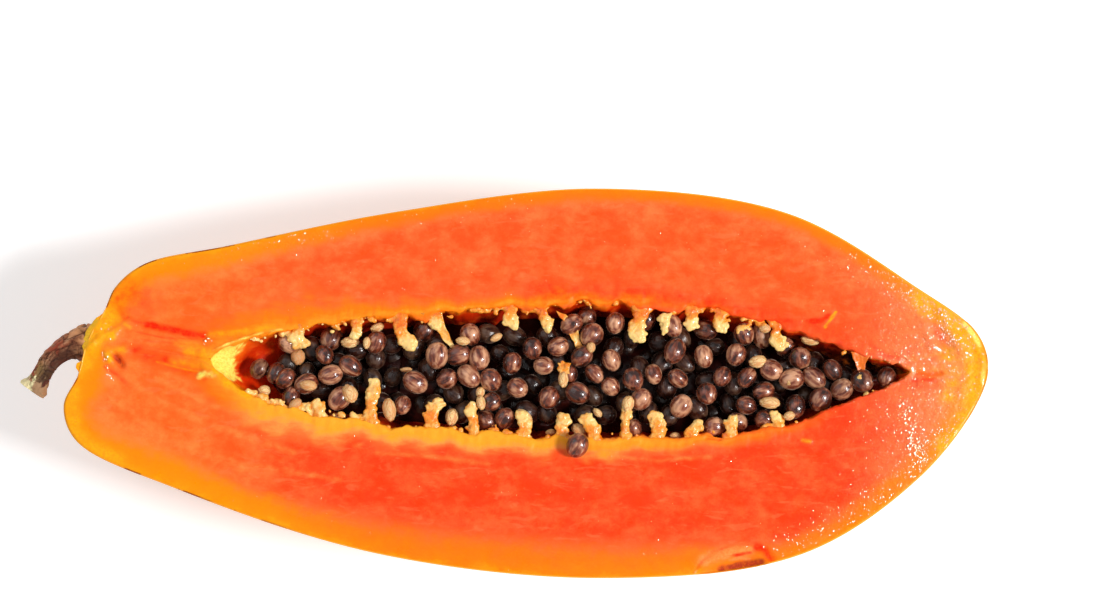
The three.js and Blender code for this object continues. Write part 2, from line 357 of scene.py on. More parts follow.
@dataclass(frozen=True)
class FruitForm:
    """The driving sizes of the half, the same as the CAD model's, in millimetres."""

    length: float = 270.0
    width: float = 114.4
    roundness: float = 0.985
    belly_shift: float = 0.15
    rest_depth: float = 1.1
    rest_at: float = 0.55
    rest_across: float = 0.011
    cavity_depth: float = 22.0
    end_bluntness: float = 0.7
    rim_wave: float = 0.5
    lobe_height: float = 0.012
    lobes: int = 5
    fruit_ribs: Ribs = (
        (0.024, 0.093, 0.024, 0.093), (0.041, 0.171, 0.015, 0.01), (0.053, 0.236, 0.0, -0.07),
        (0.084, 0.296, 0.015, -0.161), (0.174, 0.343, 0.124, -0.282), (0.358, 0.432, 0.341, -0.446),
        (0.58, 0.4925, 0.591, -0.5075), (0.786, 0.427, 0.797, -0.446), (0.925, 0.234, 0.923, -0.254),
        (0.988, 0.119, 0.987, -0.065), (1.0, 0.031, 1.0, 0.031),
    )
    cavity_ribs: Ribs = (
        (0.158, 0.049, 0.158, 0.049), (0.2, 0.1, 0.176, -0.006), (0.287, 0.142, 0.257, -0.083),
        (0.415, 0.171, 0.419, -0.132), (0.601, 0.191, 0.601, -0.153), (0.75, 0.15, 0.75, -0.135),
        (0.861, 0.062, 0.851, -0.062), (0.915, 0.018, 0.915, 0.018),
    )

    def spot(self, along: float, across: float) -> Array:
        """Place shares of the length and width on the cut face, in millimetres."""
        return np.array([(along - self.rest_at) * self.length, (across - self.rest_across) * self.width])

    def along(self, x: Array) -> Array:
        """Turn millimetres along the fruit into shares of its length."""
        return x / self.length + self.rest_at

    def ribs(self, table: Ribs, t: Array) -> tuple[Array, Array]:
        """Find ribs of an outline.

        Args:
            table: The outline's driving ribs.
            t: Places from 0 to 1.

        Returns:
            The ribs' middles, and the half chords from there to their upper ends.
        """
        upper = [self.spot(*rib[:2]) for rib in table]
        lower = [self.spot(*rib[2:]) for rib in table[1:-1]]
        curve = Spline(upper + lower[::-1], closed=True)
        high, low = curve.at(np.asarray(t) / 2), curve.at(1 - np.asarray(t) / 2)
        return (high + low) / 2, (high - low) / 2

    def fruit(self, t: Array) -> tuple[Array, Array]:
        """Find ribs of the fruit's outline: middles and half chords."""
        return self.ribs(self.fruit_ribs, t)

    def cavity(self, t: Array) -> tuple[Array, Array]:
        """Find ribs of the cavity's outline: middles and half chords."""
        return self.ribs(self.cavity_ribs, t)

    def depth(self, t: Array) -> Array:
        """Depth of the back below the cut face at each rib."""
        chord = self.fruit(t)[1]
        shift = 1 + self.belly_shift * np.sin(np.pi * t) * np.cos(np.pi * t)
        return lengths(chord) * self.roundness * shift

    @property
    def cut_z(self) -> float:
        """Height of the cut face."""
        return float(self.depth(np.linspace(0, 1, 101)).max() - self.rest_depth)

    def wave(self, x: Array, side: Array) -> Array:
        """How far the cavity's rim strays to either side."""
        return self.rim_wave * (np.sin(0.33 * x + side) + 0.7 * np.sin(0.6 * x - side))

    def even(self, table: Ribs, count: int) -> Array:
        """Find ribs that divide an outline's length evenly.

        Args:
            table: The outline's driving ribs.
            count: How many ribs.

        Returns:
            Their places from 0 to 1.
        """
        t = np.linspace(0, 1, 4001)
        middle, chord = self.ribs(table, t)
        steps = [lengths(np.diff(middle + s * chord, axis=0)) for s in (1, -1)]
        run = np.concatenate([[0], np.cumsum(steps[0] + steps[1])])
        return np.interp(np.linspace(0, run[-1], count), run, t)

    def back(self, t: Array, angle: Array, inset: float) -> Array:
        """Find points of the back.

        Args:
            t: Places of the ribs.
            angle: Turns round the back, from 0 at the upper edge to pi at the lower one.
            inset: Distance inside the surface.

        Returns:
            Array of shape (ribs, angles, 3).
        """
        middle, chord = self.fruit(t)
        half = lengths(chord)
        scale = np.clip(1 - inset / np.maximum(half, 1e-6), 0, 1)[:, None]
        lobe = (1 + self.lobe_height * np.cos(self.lobes * angle) * np.sin(angle))[None, :]
        reach = (np.cos(angle)[None, :] * lobe * scale)[..., None]
        xy = middle[:, None, :] + chord[:, None, :] * reach
        z = self.cut_z - self.depth(t)[:, None] * lobe * np.sin(angle)[None, :] * scale
        return np.concatenate([xy, np.maximum(z, inset)[..., None]], axis=2)


FORM = FruitForm()
CUT_Z = FORM.cut_z


class Tint(Enum):
    """Which of the flesh's extra colours a stroke brings; the brown one is painted shade."""

    RED = "red"
    YELLOW = "yellow"
    SALMON = "salmon"
    BROWN = "brown"
    CREAM = "cream"
    OLIVE = "olive"


@dataclass(frozen=True)
class Stroke:
    """A groove, ridge, vein or patch on the cut face, along a line of shares."""

    run: tuple[float, ...]  # along and across by turns
    half_width: float
    depth: float = 0.0
    tint: Tint | None = None
    strength: float = 1.0

    def falloff(self, places: Array) -> Array:
        """How strongly the stroke covers each place.

        Args:
            places: Array of shape (n, 2) in millimetres.

        Returns:
            Values from 0 to 1.
        """
        line = [FORM.spot(*p) for p in zip(self.run[::2], self.run[1::2])]
        gaps = [from_segment(places, a, b) for a, b in zip(line, line[1:])]
        return np.exp(-((np.min(gaps, axis=0) / self.half_width) ** 2))


@dataclass(frozen=True)
class Nick:
    """The shallow scoop that is missing from the edge of the cut face."""

    along: float = 0.721
    across: float = -0.492
    half_sizes: tuple[float, float, float] = (11.0, 4.6, 2.6)
    turn: float = 0.17

    def depth_at(self, points: Array) -> Array:
        """Find the scoop's depth below the cut face.

        Args:
            points: Array of shape (n, 2) or (n, 3) in millimetres.

        Returns:
            Depths, 0 outside the scoop.
        """
        away = points[:, :2] - FORM.spot(self.along, self.across)
        u = (away[:, 0] * math.cos(self.turn) + away[:, 1] * math.sin(self.turn)) / self.half_sizes[0]
        v = (away[:, 1] * math.cos(self.turn) - away[:, 0] * math.sin(self.turn)) / self.half_sizes[1]
        return self.half_sizes[2] * np.sqrt(np.clip(1 - u * u - v * v, 0, 1))


NICK = Nick()

RED, YELLOW, SALMON, BROWN, CREAM, OLIVE = Tint
STROKE_ROWS = (
    # the two furrows and the knot of tissue between the stem and the cavity
    ((0.066, 0.158, 0.074, 0.148, 0.091, 0.137, 0.115, 0.124), 0.8, 0.4, RED, 0.55),
    ((0.088, 0.139, 0.115, 0.125, 0.135, 0.116, 0.151, 0.111), 1.2, 0.7, RED, 0.85),
    ((0.155, 0.111, 0.185, 0.118, 0.225, 0.132), 1.1, 0.3, YELLOW, 0.5),
    ((0.076, 0.072, 0.1, 0.053, 0.125, 0.03, 0.149, 0.012), 2.8, 0.6, RED, 0.45),
    ((0.048, 0.07, 0.056, 0.073, 0.062, 0.073), 1.8, -0.3, YELLOW, 0.45),
    ((0.11, 0.034, 0.13, 0.02, 0.149, 0.006), 1.3, 0.3, RED, 0.35),
    # a small pit, darkened with painted shade
    ((0.0545, 0.058, 0.0575, 0.048, 0.061, 0.036), 1.0, 1.5, BROWN, 0.6),
    ((0.056, 0.178, 0.064, 0.155), 1.2, 0.4, RED, 0.5),
    ((0.045, 0.03, 0.056, 0.01, 0.066, -0.012), 1.0, 0.3, RED, 0.45),
    ((0.159, 0.047, 0.146, 0.068, 0.135, 0.068), 2.4, -0.25, YELLOW, 0.5),
    ((0.16, 0.062, 0.14, 0.084, 0.122, 0.09), 1.8, -0.3, YELLOW, 0.36),
    ((0.155, 0.03, 0.14, 0.035, 0.118, 0.045), 1.8, -0.2, YELLOW, 0.4),
    ((0.014, 0.05, 0.024, 0.1, 0.04, 0.16), 4.4, 0.1, YELLOW),
    ((0.028, 0.08, 0.04, 0.105, 0.05, 0.11), 1.5, -0.8, YELLOW),
    ((0.033, 0.09, 0.043, 0.11), 0.8, -0.3, CREAM, 0.3),
    ((0.036, 0.135, 0.05, 0.15), 1.6, -0.5, YELLOW, 0.7),
    ((0.05, 0.115, 0.058, 0.128), 0.9, -0.7, YELLOW, 0.6),
    ((0.064, 0.14, 0.07, 0.13), 0.8, -0.6, YELLOW, 0.5),
    ((0.046, 0.062, 0.049, 0.048), 0.9, -0.8, YELLOW),
    ((0.1615, 0.072, 0.175, 0.087, 0.19, 0.1, 0.215, 0.118, 0.235, 0.126), 0.4, -0.3, CREAM, 0.5),
    ((0.146, 0.006, 0.152, 0.012, 0.16, 0.008), 0.9, -0.7, CREAM, 0.75),
    ((0.163, 0.02, 0.175, -0.012, 0.2, -0.045), 1.3, 0.0, YELLOW, 0.7),
    ((0.078, 0.118, 0.11, 0.104, 0.15, 0.1), 0.4, 0.25, RED, 0.4),
    ((0.074, 0.1, 0.11, 0.092, 0.152, 0.084), 0.35, 0.2, RED, 0.35),
    ((0.09, 0.082, 0.13, 0.062, 0.156, 0.05), 0.4, 0.3, RED, 0.35),
    ((0.1, 0.042, 0.13, 0.024, 0.15, 0.016), 0.5, -0.3, YELLOW, 0.4),
    ((0.07, 0.0, 0.1, -0.05, 0.16, -0.12, 0.25, -0.19), 1.5, 0.1, SALMON, 0.36),
    ((0.1, 0.0, 0.15, -0.06, 0.22, -0.12, 0.32, -0.17), 1.1, -0.1, SALMON, 0.36),
    ((0.06, -0.06, 0.09, -0.12, 0.15, -0.2, 0.2, -0.23), 1.6, 0.1, SALMON, 0.34),
    ((0.13, -0.18, 0.2, -0.22, 0.3, -0.26), 1.2, -0.1, SALMON, 0.34),
    ((0.34, -0.19, 0.4, -0.2, 0.46, -0.22), 1.0, 0.1, SALMON, 0.34),
    ((0.6, -0.2, 0.64, -0.21, 0.7, -0.2), 0.9, 0.1, SALMON, 0.36),
    # the yellow edge of the left lobe, the redder corner above the stem and the rind's olive collar
    ((0.008, -0.03, 0.0085, -0.1, 0.02, -0.155, 0.04, -0.185, 0.06, -0.21), 3.0, 0.0, YELLOW, 0.6),
    ((0.05, 0.19, 0.066, 0.21, 0.085, 0.2), 7.0, 0.0, RED, 0.4),
    ((0.031, 0.148, 0.023, 0.11, 0.0165, 0.07), 1.5, 0.0, OLIVE, 0.8),
    ((0.5, 0.225, 0.6, 0.222, 0.7, 0.195, 0.78, 0.15, 0.84, 0.1), 4.5, 0.0, RED, 0.4),
    # the blossom end
    ((0.939, 0.165, 0.944, 0.135, 0.953, 0.085), 2.0, 0.45, RED, 0.4),
    ((0.928, 0.16, 0.934, 0.12, 0.941, 0.08), 1.8, -0.6),
    ((0.955, 0.155, 0.96, 0.125, 0.972, 0.07), 2.2, -0.8, YELLOW, 0.2),
    ((0.915, 0.02, 0.93, 0.016, 0.95, 0.012), 2.2, 0.4, YELLOW, 0.28),
    ((0.923, 0.014, 0.935, 0.01, 0.95, 0.013), 0.9, 0.3, RED, 0.7),
    ((0.905, 0.045, 0.93, 0.052, 0.96, 0.07), 1.0, 0.35, SALMON, 0.5),
    ((0.905, -0.01, 0.93, -0.02, 0.955, -0.02), 1.2, 0.35, RED, 0.3),
    ((0.873, 0.085, 0.888, 0.06, 0.906, 0.05), 0.9, 0.2, RED, 0.4),
    ((0.93, 0.205, 0.962, 0.15, 0.984, 0.08, 0.988, 0.0, 0.98, -0.1, 0.955, -0.18), 3.9, 0.0, YELLOW, 0.85),
    ((0.945, 0.185, 0.965, 0.15, 0.983, 0.105, 0.9935, 0.05, 0.991, 0.0), 1.1, -0.35, YELLOW),
    ((0.974, 0.142, 0.985, 0.112, 0.991, 0.085), 0.8, -0.2, CREAM, 0.7),
    ((0.957, 0.07, 0.962, 0.01, 0.956, -0.05), 3.2, 0.0, YELLOW, 0.5),
    ((0.918, -0.006, 0.932, 0.0, 0.943, -0.004), 1.4, 0.25, RED, 0.5),
    ((0.995, 0.03, 0.993, -0.01), 0.6, 0.0, CREAM, 0.6),
    # the scoop's torn flap, painted shadow on its floor by the edge, and the arc round it
    ((0.68, -0.499, 0.688, -0.466, 0.701, -0.44, 0.724, -0.423, 0.745, -0.423), 0.7, 0.3, RED, 0.35),
    ((0.71, -0.394, 0.73, -0.388, 0.745, -0.401), 0.6, 0.15, RED, 0.2),
    ((0.691, -0.462, 0.705, -0.45, 0.726, -0.437, 0.738, -0.439), 1.9, 0.0, SALMON, 0.9),
    ((0.721, -0.451, 0.741, -0.443), 0.6, 0.4, RED, 0.6),
    ((0.748, -0.43, 0.757, -0.44, 0.762, -0.457), 1.5, 0.3, RED, 0.7),
    # painted shadow on the scoop's floor by the edge
    ((0.71, -0.486, 0.73, -0.474, 0.752, -0.468), 1.2, 0.3, BROWN, 0.9),
    ((0.719, -0.461, 0.73, -0.456, 0.739, -0.459), 0.5, -0.5, SALMON),
    # a scratch and bruise beside the cavity, and veins
    ((0.824, 0.132, 0.836, 0.171), 0.45, 0.35, YELLOW, 0.8),
    ((0.805, 0.145, 0.82, 0.15, 0.828, 0.162), 1.2, 0.2, RED, 0.7),
    ((0.695, -0.155, 0.71, -0.158), 0.5, 0.7, RED, 0.4),
    ((0.798, -0.158, 0.806, -0.162), 0.7, -0.5, YELLOW, 0.5),
)
STROKES = tuple(Stroke(*row) for row in STROKE_ROWS)


# ---- shaders


class Wiring:
    """Adds nodes to one tree and wires them."""

    def __init__(self, tree: Tree, palette: "Palette | None" = None) -> None:
        """Keep the tree and, for a material, the shared node groups and its coordinates."""
        self.tree, self.palette = tree, palette
        self.at = None if palette is None else self.add("TexCoord", output="Object")

    def add(
        self, kind: str, sockets: Sockets | None = None, output: str | int = 0, **settings: object
    ) -> Socket:
        """Add a node.

        Args:
            kind: The node's type without its ShaderNode prefix.
            sockets: Values or outputs for its inputs.
            output: Which output is wanted.
            **settings: The node's own properties.

        Returns:
            The output.
        """
        node = self.tree.nodes.new(f"ShaderNode{kind}")
        for key, value in settings.items():
            setattr(node, key, value)
        for key, value in (sockets or {}).items():
            if isinstance(value, Socket):
                self.tree.links.new(value, node.inputs[key])
            else:
                node.inputs[key].default_value = value
        return node.outputs[output] if len(node.outputs) else None

    def value(self, name: str) -> Socket:
        """Read a number kept for each vertex."""
        return self.add("Attribute", output="Fac", attribute_name=name)

    def own(self) -> Socket:
        """Read a copied shape's own coordinates, in millimetres."""
        return self.add("Attribute", output="Vector", attribute_name="own")

    def part(self, vector: Socket, axis: str) -> Socket:
        """Take one axis of a vector."""
        return self.add("SeparateXYZ", {0: vector}, axis)

    def calc(self, operation: str, a: object, b: object = 0.0) -> Socket:
        """Add a Math node with an operation of Blender's."""
        return self.add("Math", {0: a, 1: b}, operation=operation)

    def plus(self, a: object, b: object) -> Socket:
        """Add two values."""
        return self.calc("ADD", a, b)

    def times(self, a: object, b: object) -> Socket:
        """Multiply two values."""
        return self.calc("MULTIPLY", a, b)

    def blend(self, a: object, b: object, c: object) -> Socket:
        """Multiply a by b and add c."""
        return self.add("Math", {0: a, 1: b, 2: c}, operation="MULTIPLY_ADD")

    def bump(self, height: Socket, strength: float, distance: float) -> Socket:
        """Turn a height into a normal; the distance is in millimetres."""
        return self.add("Bump", {"Height": height, "Strength": strength, "Distance": distance * MM})

    def mix(self, share: object, a: object, b: object) -> Socket:
        """Mix two colours by a share."""
        return self.add("Mix", {0: share, 6: a, 7: b}, 2, data_type="RGBA")

    def noise(
        self, vector: Socket, scale: object, detail: object, rough: float = 0.5, drift: object = 0.0
    ) -> Socket:
        """Add a noise texture and give its value."""
        values = {"Vector": vector, "Scale": scale, "Detail": detail, "Roughness": rough, "Distortion": drift}
        return self.add("TexNoise", values)

    def ease(
        self, value: object, low: float, high: float, to_low: float = 0.0, to_high: float = 1.0
    ) -> Socket:
        """Ease a value's range into another."""
        sockets = {"Value": value, "From Min": low, "From Max": high, "To Min": to_low, "To Max": to_high}
        return self.add("MapRange", sockets, interpolation_type="SMOOTHSTEP")

    def ramp(self, value: Socket, stops: Stops) -> Socket:
        """Turn a value into a colour along stops.

        Args:
            value: The value, from 0 to 1.
            stops: Places and colours, in order.

        Returns:
            The colour.
        """
        colour = self.add("ValToRGB", {0: value})
        elements = colour.node.color_ramp.elements
        while len(elements) < len(stops):
            elements.new(0.5)
        for element, (place, shade) in zip(elements, stops):
            element.position, element.color = place, shade
        return colour

    def stretch(self, vector: Socket, x_scale: float, turn: float = 0.0) -> Socket:
        """Turn coordinates about Z and squeeze them along X, so that a pattern grows long."""
        return self.add("Mapping", {"Vector": vector, "Scale": (x_scale, 1, 1), "Rotation": (0, 0, turn)})

    def group(self, tree: Tree, sockets: dict[str, object], output: str) -> Socket:
        """Place a node group and give one of its outputs."""
        return self.add("Group", sockets, output, node_tree=tree)

    def clouds(self, vector: Socket, scale: float, detail: float, drift: float, contrast: float) -> Socket:
        """Place soft patches and give their mask."""
        values = {"Vector": vector, "Scale": scale, "Detail": detail, "Drift": drift, "Contrast": contrast}
        return self.group(self.palette.clouds, values, "Mask")

    def crumb(self, vector: Socket, scale: float, grain: float) -> Socket:
        """Place the fine grain and give its height."""
        return self.group(self.palette.crumb, {"Vector": vector, "Scale": scale, "Grain": grain}, "Height")


def new_group(name: str, inputs: Sequence[str], output: str) -> tuple[Tree, Wiring, Sockets, Socket]:
    """Start a node group that takes a Vector and some numbers and gives one number.

    Args:
        name: Its name.
        inputs: The names of its numbers.
        output: The name of what it gives.

    Returns:
        The group, its wiring, what comes in, by name, and where the result goes.
    """
    tree = bpy.data.node_groups.new(name, "ShaderNodeTree")
    tree.interface.new_socket("Vector", in_out="INPUT", socket_type="NodeSocketVector")
    for key in inputs:
        tree.interface.new_socket(key, in_out="INPUT", socket_type="NodeSocketFloat")
    tree.interface.new_socket(output, in_out="OUTPUT", socket_type="NodeSocketFloat")
    source, sink = tree.nodes.new("NodeGroupInput"), tree.nodes.new("NodeGroupOutput")
    return tree, Wiring(tree), source.outputs, sink.inputs[output]


def clouds_group() -> Tree:
    """Build the soft patches that flesh, peel, seeds and stem share.

    Returns:
        A group with Vector, Scale, Detail, Drift and Contrast in, and Mask out.
    """
    tree, w, given, result = new_group("clouds", ("Scale", "Detail", "Drift", "Contrast"), "Mask")
    cloud = w.noise(given["Vector"], given["Scale"], given["Detail"], 0.55, given["Drift"])
    spread = w.blend(w.plus(cloud, -0.5), given["Contrast"], 0.5)
    spread.node.use_clamp = True
    tree.links.new(spread, result)
    return tree


def crumb_group() -> Tree:
    """Build the fine grain of wet plant tissue, as a height.

    Returns:
        A group with Vector, Scale and Grain in, and Height out.
    """
    tree, w, given, result = new_group("crumb", ("Scale", "Grain"), "Height")
    fine = w.noise(given["Vector"], given["Scale"], 3.0, 0.6)
    coarse = {"Vector": given["Vector"], "Scale": w.times(given["Scale"], 0.7)}
    cells = w.add("TexVoronoi", coarse, "Distance")
    tree.links.new(w.blend(cells, given["Grain"], fine), result)
    return tree


@dataclass
class Palette:
    """The node groups that several finishes share."""

    clouds: Tree = field(default_factory=clouds_group)
    crumb: Tree = field(default_factory=crumb_group)


@dataclass(frozen=True)
class Finish:
    """What every finish has: a name, its gloss and how light goes into it."""

    name: str
    roughness: float = 0.4
    specular: float = 0.4
    coat: float = 0.0
    sheen: float = 0.0
    glow: float = 0.0  # share of light that goes in below the surface
    glow_radius: tuple[float, float, float] = (1.0, 0.35, 0.1)
    glow_depth: float = 1.5  # in millimetres

    def surface(
        self, w: Wiring, colour: Socket, normal: object = None, rough: object = None, coat: object = None
    ) -> None:
        """Add the shader and its output.

        Args:
            w: The material's wiring.
            colour: The colour socket.
            normal: A normal socket, or none.
            rough: A roughness socket, or none for the finish's own value.
            coat: A coat socket, or none for the finish's own value.
        """
        sockets: Sockets = {
            "Base Color": colour,
            "Roughness": self.roughness if rough is None else rough,
            "Specular IOR Level": self.specular,
            "Coat Weight": self.coat if coat is None else coat,
            "Coat Roughness": 0.06,
            "Sheen Weight": self.sheen,
            "Sheen Roughness": 0.3,
            "Sheen Tint": (0.8, 0.55, 0.42, 1.0),
            "Subsurface Weight": self.glow,
            "Subsurface Radius": self.glow_radius,
            "Subsurface Scale": self.glow_depth * MM,
        }
        if normal is not None:
            sockets["Normal"] = normal
        w.add("OutputMaterial", {"Surface": w.add("BsdfPrincipled", sockets)})

    def make(self, palette: Palette) -> bpy.types.Material:
        """Build the material.

        Args:
            palette: The shared node groups.

        Returns:
            The material.
        """
        material = bpy.data.materials.new(self.name)
        material.use_nodes = True
        material.node_tree.nodes.clear()
        self.dress(Wiring(material.node_tree, palette))
        return material

    def dress(self, w: Wiring) -> None:
        """Wire the colours, gloss and bump; each finish has its own way."""
        raise NotImplementedError


@dataclass(frozen=True)
class FleshFinish(Finish):
    """Red-orange flesh, yellower towards the peel and round the cavity."""

    red: Colour = paint(255, 60, 14)
    light: Colour = paint(255, 102, 48)
    upper_red: Colour = paint(255, 82, 26)
    upper_light: Colour = paint(255, 123, 62)
    pale: Colour = paint(255, 142, 78)
    pale_edge: Colour = paint(253, 158, 56)
    stem_red: Colour = paint(255, 96, 24)
    stem_light: Colour = paint(255, 134, 58)
    vein: Colour = paint(255, 140, 84)
    amber: Colour = paint(250, 120, 34)
    # from the skin inwards, at the stem end and elsewhere
    yellow: Stops = stops(
        (0.0, 252, 158, 8), (0.15, 250, 145, 0), (0.45, 252, 137, 2), (0.75, 255, 132, 28),
        (1.0, 255, 114, 38),
    )
    orange: Stops = stops(
        (0.0, 254, 144, 6), (0.12, 254, 127, 2), (0.4, 255, 118, 12), (0.7, 255, 113, 28),
        (1.0, 255, 104, 38),
    )
    # from the cavity's rim outwards, where it is golden and where it is not
    gold: Stops = stops((0.0, 254, 168, 42), (0.3, 254, 164, 38), (0.65, 254, 158, 72), (1.0, 255, 128, 56))
    fire: Stops = stops((0.0, 255, 144, 28), (0.3, 254, 118, 4), (0.65, 255, 112, 16), (1.0, 255, 104, 34))
    # down the cavity's wall: redder with depth, and darker towards near black as painted shade
    wall: Stops = stops(
        (0.0, 255, 140, 30), (0.12, 248, 104, 16), (0.35, 214, 48, 4), (0.8, 156, 26, 5), (1.0, 24, 6, 5)
    )
    tints: tuple[tuple[Tint, Colour, Colour], ...] = (
        (SALMON, paint(255, 142, 66), paint(255, 124, 50)),
        (RED, paint(240, 38, 0), paint(248, 62, 4)),
        (YELLOW, paint(254, 172, 14), paint(255, 150, 20)),
        # the brown tint is painted shade
        (BROWN, paint(172, 54, 22), paint(206, 76, 26)),
        (CREAM, paint(250, 228, 104), paint(244, 188, 62)),
        (OLIVE, paint(208, 160, 38), paint(228, 176, 44)),
    )

    def dress(self, w: Wiring) -> None:
        """Wire the colours, gloss and bump.

        Args:
            w: The material's wiring.
        """
        east = w.part(w.at, "X")
        stemward = w.ease(east, -0.07, -0.118)
        along = w.stretch(w.at, 0.8, 0.3)
        broad = w.clouds(along, 135.0, 5.0, 0.2, 2.0)
        small = w.clouds(along, 400.0, 5.0, 0.3, 2.0)
        fine = w.clouds(w.at, 1500.0, 3.0, 0.3, 2.0)
        cloud = w.blend(small, 0.34, w.blend(fine, 0.12, w.times(broad, 0.54)))
        ripeness, paleness, wall, wet = map(w.value, ("ripeness", "paleness", "wall", "wet"))
        upward = w.ease(w.part(w.at, "Y"), -0.02, 0.02)
        deep = w.mix(stemward, w.mix(upward, self.red, self.upper_red), self.stem_red)
        light = w.mix(stemward, w.mix(upward, self.light, self.upper_light), self.stem_light)
        base = w.mix(w.ease(w.blend(ripeness, -0.25, w.plus(cloud, 0.25)), 0.15, 0.85), deep, light)
        thread = w.clouds(w.stretch(w.at, 0.3, -0.1), 420.0, 4.0, 0.6, 3.0)
        base = w.mix(w.ease(thread, 0.7, 1.0, 0.0, 0.2), base, self.vein)
        base = w.mix(paleness, base, self.pale)
        stir = w.times(w.plus(cloud, -0.5), 0.5)
        skin = w.plus(ripeness, stir)
        edge = w.mix(w.ease(east, -0.105, -0.05), w.ramp(skin, self.yellow), w.ramp(skin, self.orange))
        edge = w.mix(w.times(paleness, 0.45), edge, self.pale_edge)
        colour = w.mix(w.ease(skin, 0.45, 1.0), edge, base)
        grainy = w.clouds(w.stretch(w.at, 0.3, -0.02), 430.0, 4.0, 0.5, 3.0)
        rim = w.plus(w.plus(w.value("rim"), stir), w.blend(grainy, 0.24, -0.12))
        band = w.mix(w.value("golden"), w.ramp(rim, self.fire), w.ramp(rim, self.gold))
        colour = w.mix(w.times(w.ease(rim, 0.35, 1.4, 1.0, 0.0), w.value("rim_strength")), colour, band)
        # the wall's own colour, redder with depth, and painted shade deep down
        deeper = w.mix(w.ease(small, 0.45, 1.0, 0.0, 0.35), w.ramp(wall, self.wall), self.amber)
        colour = w.mix(w.ease(wall, 0.0, 0.08), colour, deeper)
        blotch = w.ease(fine, 0.35, 0.8, 0.0, 0.7)
        for tint, shade, second in self.tints:
            cover = w.blend(w.value(tint.value), w.ease(small, 0.0, 1.0, 0.7, 1.5), w.times(fine, 0.06))
            colour = w.mix(w.ease(cover, 0.07, 0.95), colour, w.mix(blotch, shade, second))
        fibre = w.noise(w.stretch(w.at, 0.5), 480.0, 4.0)
        height = w.blend(fibre, 1.1, w.times(w.crumb(w.at, 1300.0, 0.5), 0.5))
        pearls = w.times(w.noise(w.at, 640.0, 2.0, 0.6), w.times(wet, 3.2))
        bump = w.bump(w.blend(height, w.plus(wet, 0.5), pearls), 0.7, 0.3)
        dull = w.ease(w.noise(w.at, 240.0, 4.0), 0.35, 0.7, self.roughness + 0.1, self.roughness - 0.14)
        self.surface(w, colour, bump, w.blend(wet, -0.3, dull), wet)


@dataclass(frozen=True)
class PeelFinish(Finish):
    """Thin waxy peel, ochre yellow with greener and browner patches, and painted shade in patches along the
    left part of its cut edge.
    """

    ochre: Colour = paint(226, 118, 0)
    gold: Colour = paint(238, 144, 0)
    rust: Colour = paint(190, 86, 2)
    olive: Colour = paint(190, 146, 10)
    cut: Colour = paint(255, 172, 44)
    # painted shade for the dark patches on the cut edge
    painted_edge_shade: Colour = paint(158, 76, 18)

    def dress(self, w: Wiring) -> None:
        """Wire the colours, gloss and bump.

        Args:
            w: The material's wiring.
        """
        long = w.stretch(w.at, 0.45)
        broad = w.clouds(long, 38.0, 6.0, 0.6, 2.6)
        small = w.clouds(long, 190.0, 5.0, 1.0, 2.2)
        green = w.clouds(w.at, 22.0, 5.0, 0.3, 3.0)
        streak = w.clouds(w.stretch(w.at, 0.12), 420.0, 3.0, 0.2, 3.0)
        pores = w.add("TexVoronoi", {"Vector": w.at, "Scale": 330.0, "Randomness": 1.0}, "Distance")
        colour = w.mix(broad, self.ochre, self.gold)
        colour = w.mix(w.ease(small, 0.55, 1.0, 0.0, 0.35), colour, self.rust)
        colour = w.mix(w.ease(green, 0.6, 1.0, 0.0, 0.35), colour, self.olive)
        colour = w.mix(w.ease(streak, 0.7, 1.0, 0.0, 0.28), colour, self.rust)
        colour = w.mix(w.ease(pores, 0.03, 0.1, 0.4, 0.0), colour, self.rust)
        # painted shade: dark patches on the cut band over the left part of the fruit
        east = w.part(w.at, "X")
        edge_shade_span = w.times(w.ease(east, -0.06, -0.11), w.ease(east, -0.14, -0.132))
        dark = w.times(edge_shade_span, w.ease(small, 0.42, 0.6))
        colour = w.mix(w.value("cut"), colour, w.mix(dark, self.cut, self.painted_edge_shade))
        bump = w.bump(w.blend(w.noise(w.at, 1000.0, 2.0), 0.55, w.noise(long, 300.0, 4.0)), 0.4, 0.5)
        self.surface(w, colour, bump, w.ease(small, 0.0, 1.0, self.roughness - 0.06, self.roughness + 0.1))


@dataclass(frozen=True)
class SeedFinish(Finish):
    """A dark seed in a wet, half clear coat with meridian folds, with painted shade on the deeper seeds."""

    # painted shade that a seed takes on the deeper it lies
    painted_shade: Colour = paint(14, 4, 3)
    shades: Stops = stops((0.18, 50, 15, 8), (0.5, 130, 60, 36), (0.92, 220, 160, 120))
    shift: Triple = (37.0, 71.0, 53.0)  # sets each seed's pattern apart from the others'

    def dress(self, w: Wiring) -> None:
        """Wire the colours, gloss and bump.

        Args:
            w: The material's wiring.
        """
        number, sunk = w.value("copy"), w.value("sunk")
        shift = w.add("VectorMath", {0: number, 1: self.shift}, operation="MULTIPLY")
        here = w.add("VectorMath", {0: w.own(), 1: shift}, operation="ADD")
        folds = w.clouds(w.stretch(here, 0.2), 0.75, 2.0, 0.4, 2.8)
        patches = w.clouds(here, 0.24, 2.0, 0.6, 3.0)
        tone = w.blend(w.calc("FRACT", w.times(number, 11.3)), 0.36, -0.16)
        shade = w.plus(w.blend(folds, 0.52, w.times(patches, 0.5)), tone)
        # painted shade: the sunk mark darkens a seed towards near black
        colour = w.mix(sunk, w.ramp(shade, self.shades), self.painted_shade)
        pucker = w.noise(w.stretch(here, 0.5), 1.3, 2.0)
        bump = w.bump(w.blend(pucker, 1.6, folds), 0.3, 0.35)
        dull = w.ease(patches, 0.0, 1.0, self.roughness, self.roughness + 0.14)
        # less coat on the deep seeds keeps their painted shade dark
        self.surface(w, colour, bump, dull, w.ease(sunk, 0.0, 0.8, self.coat, 0.05))


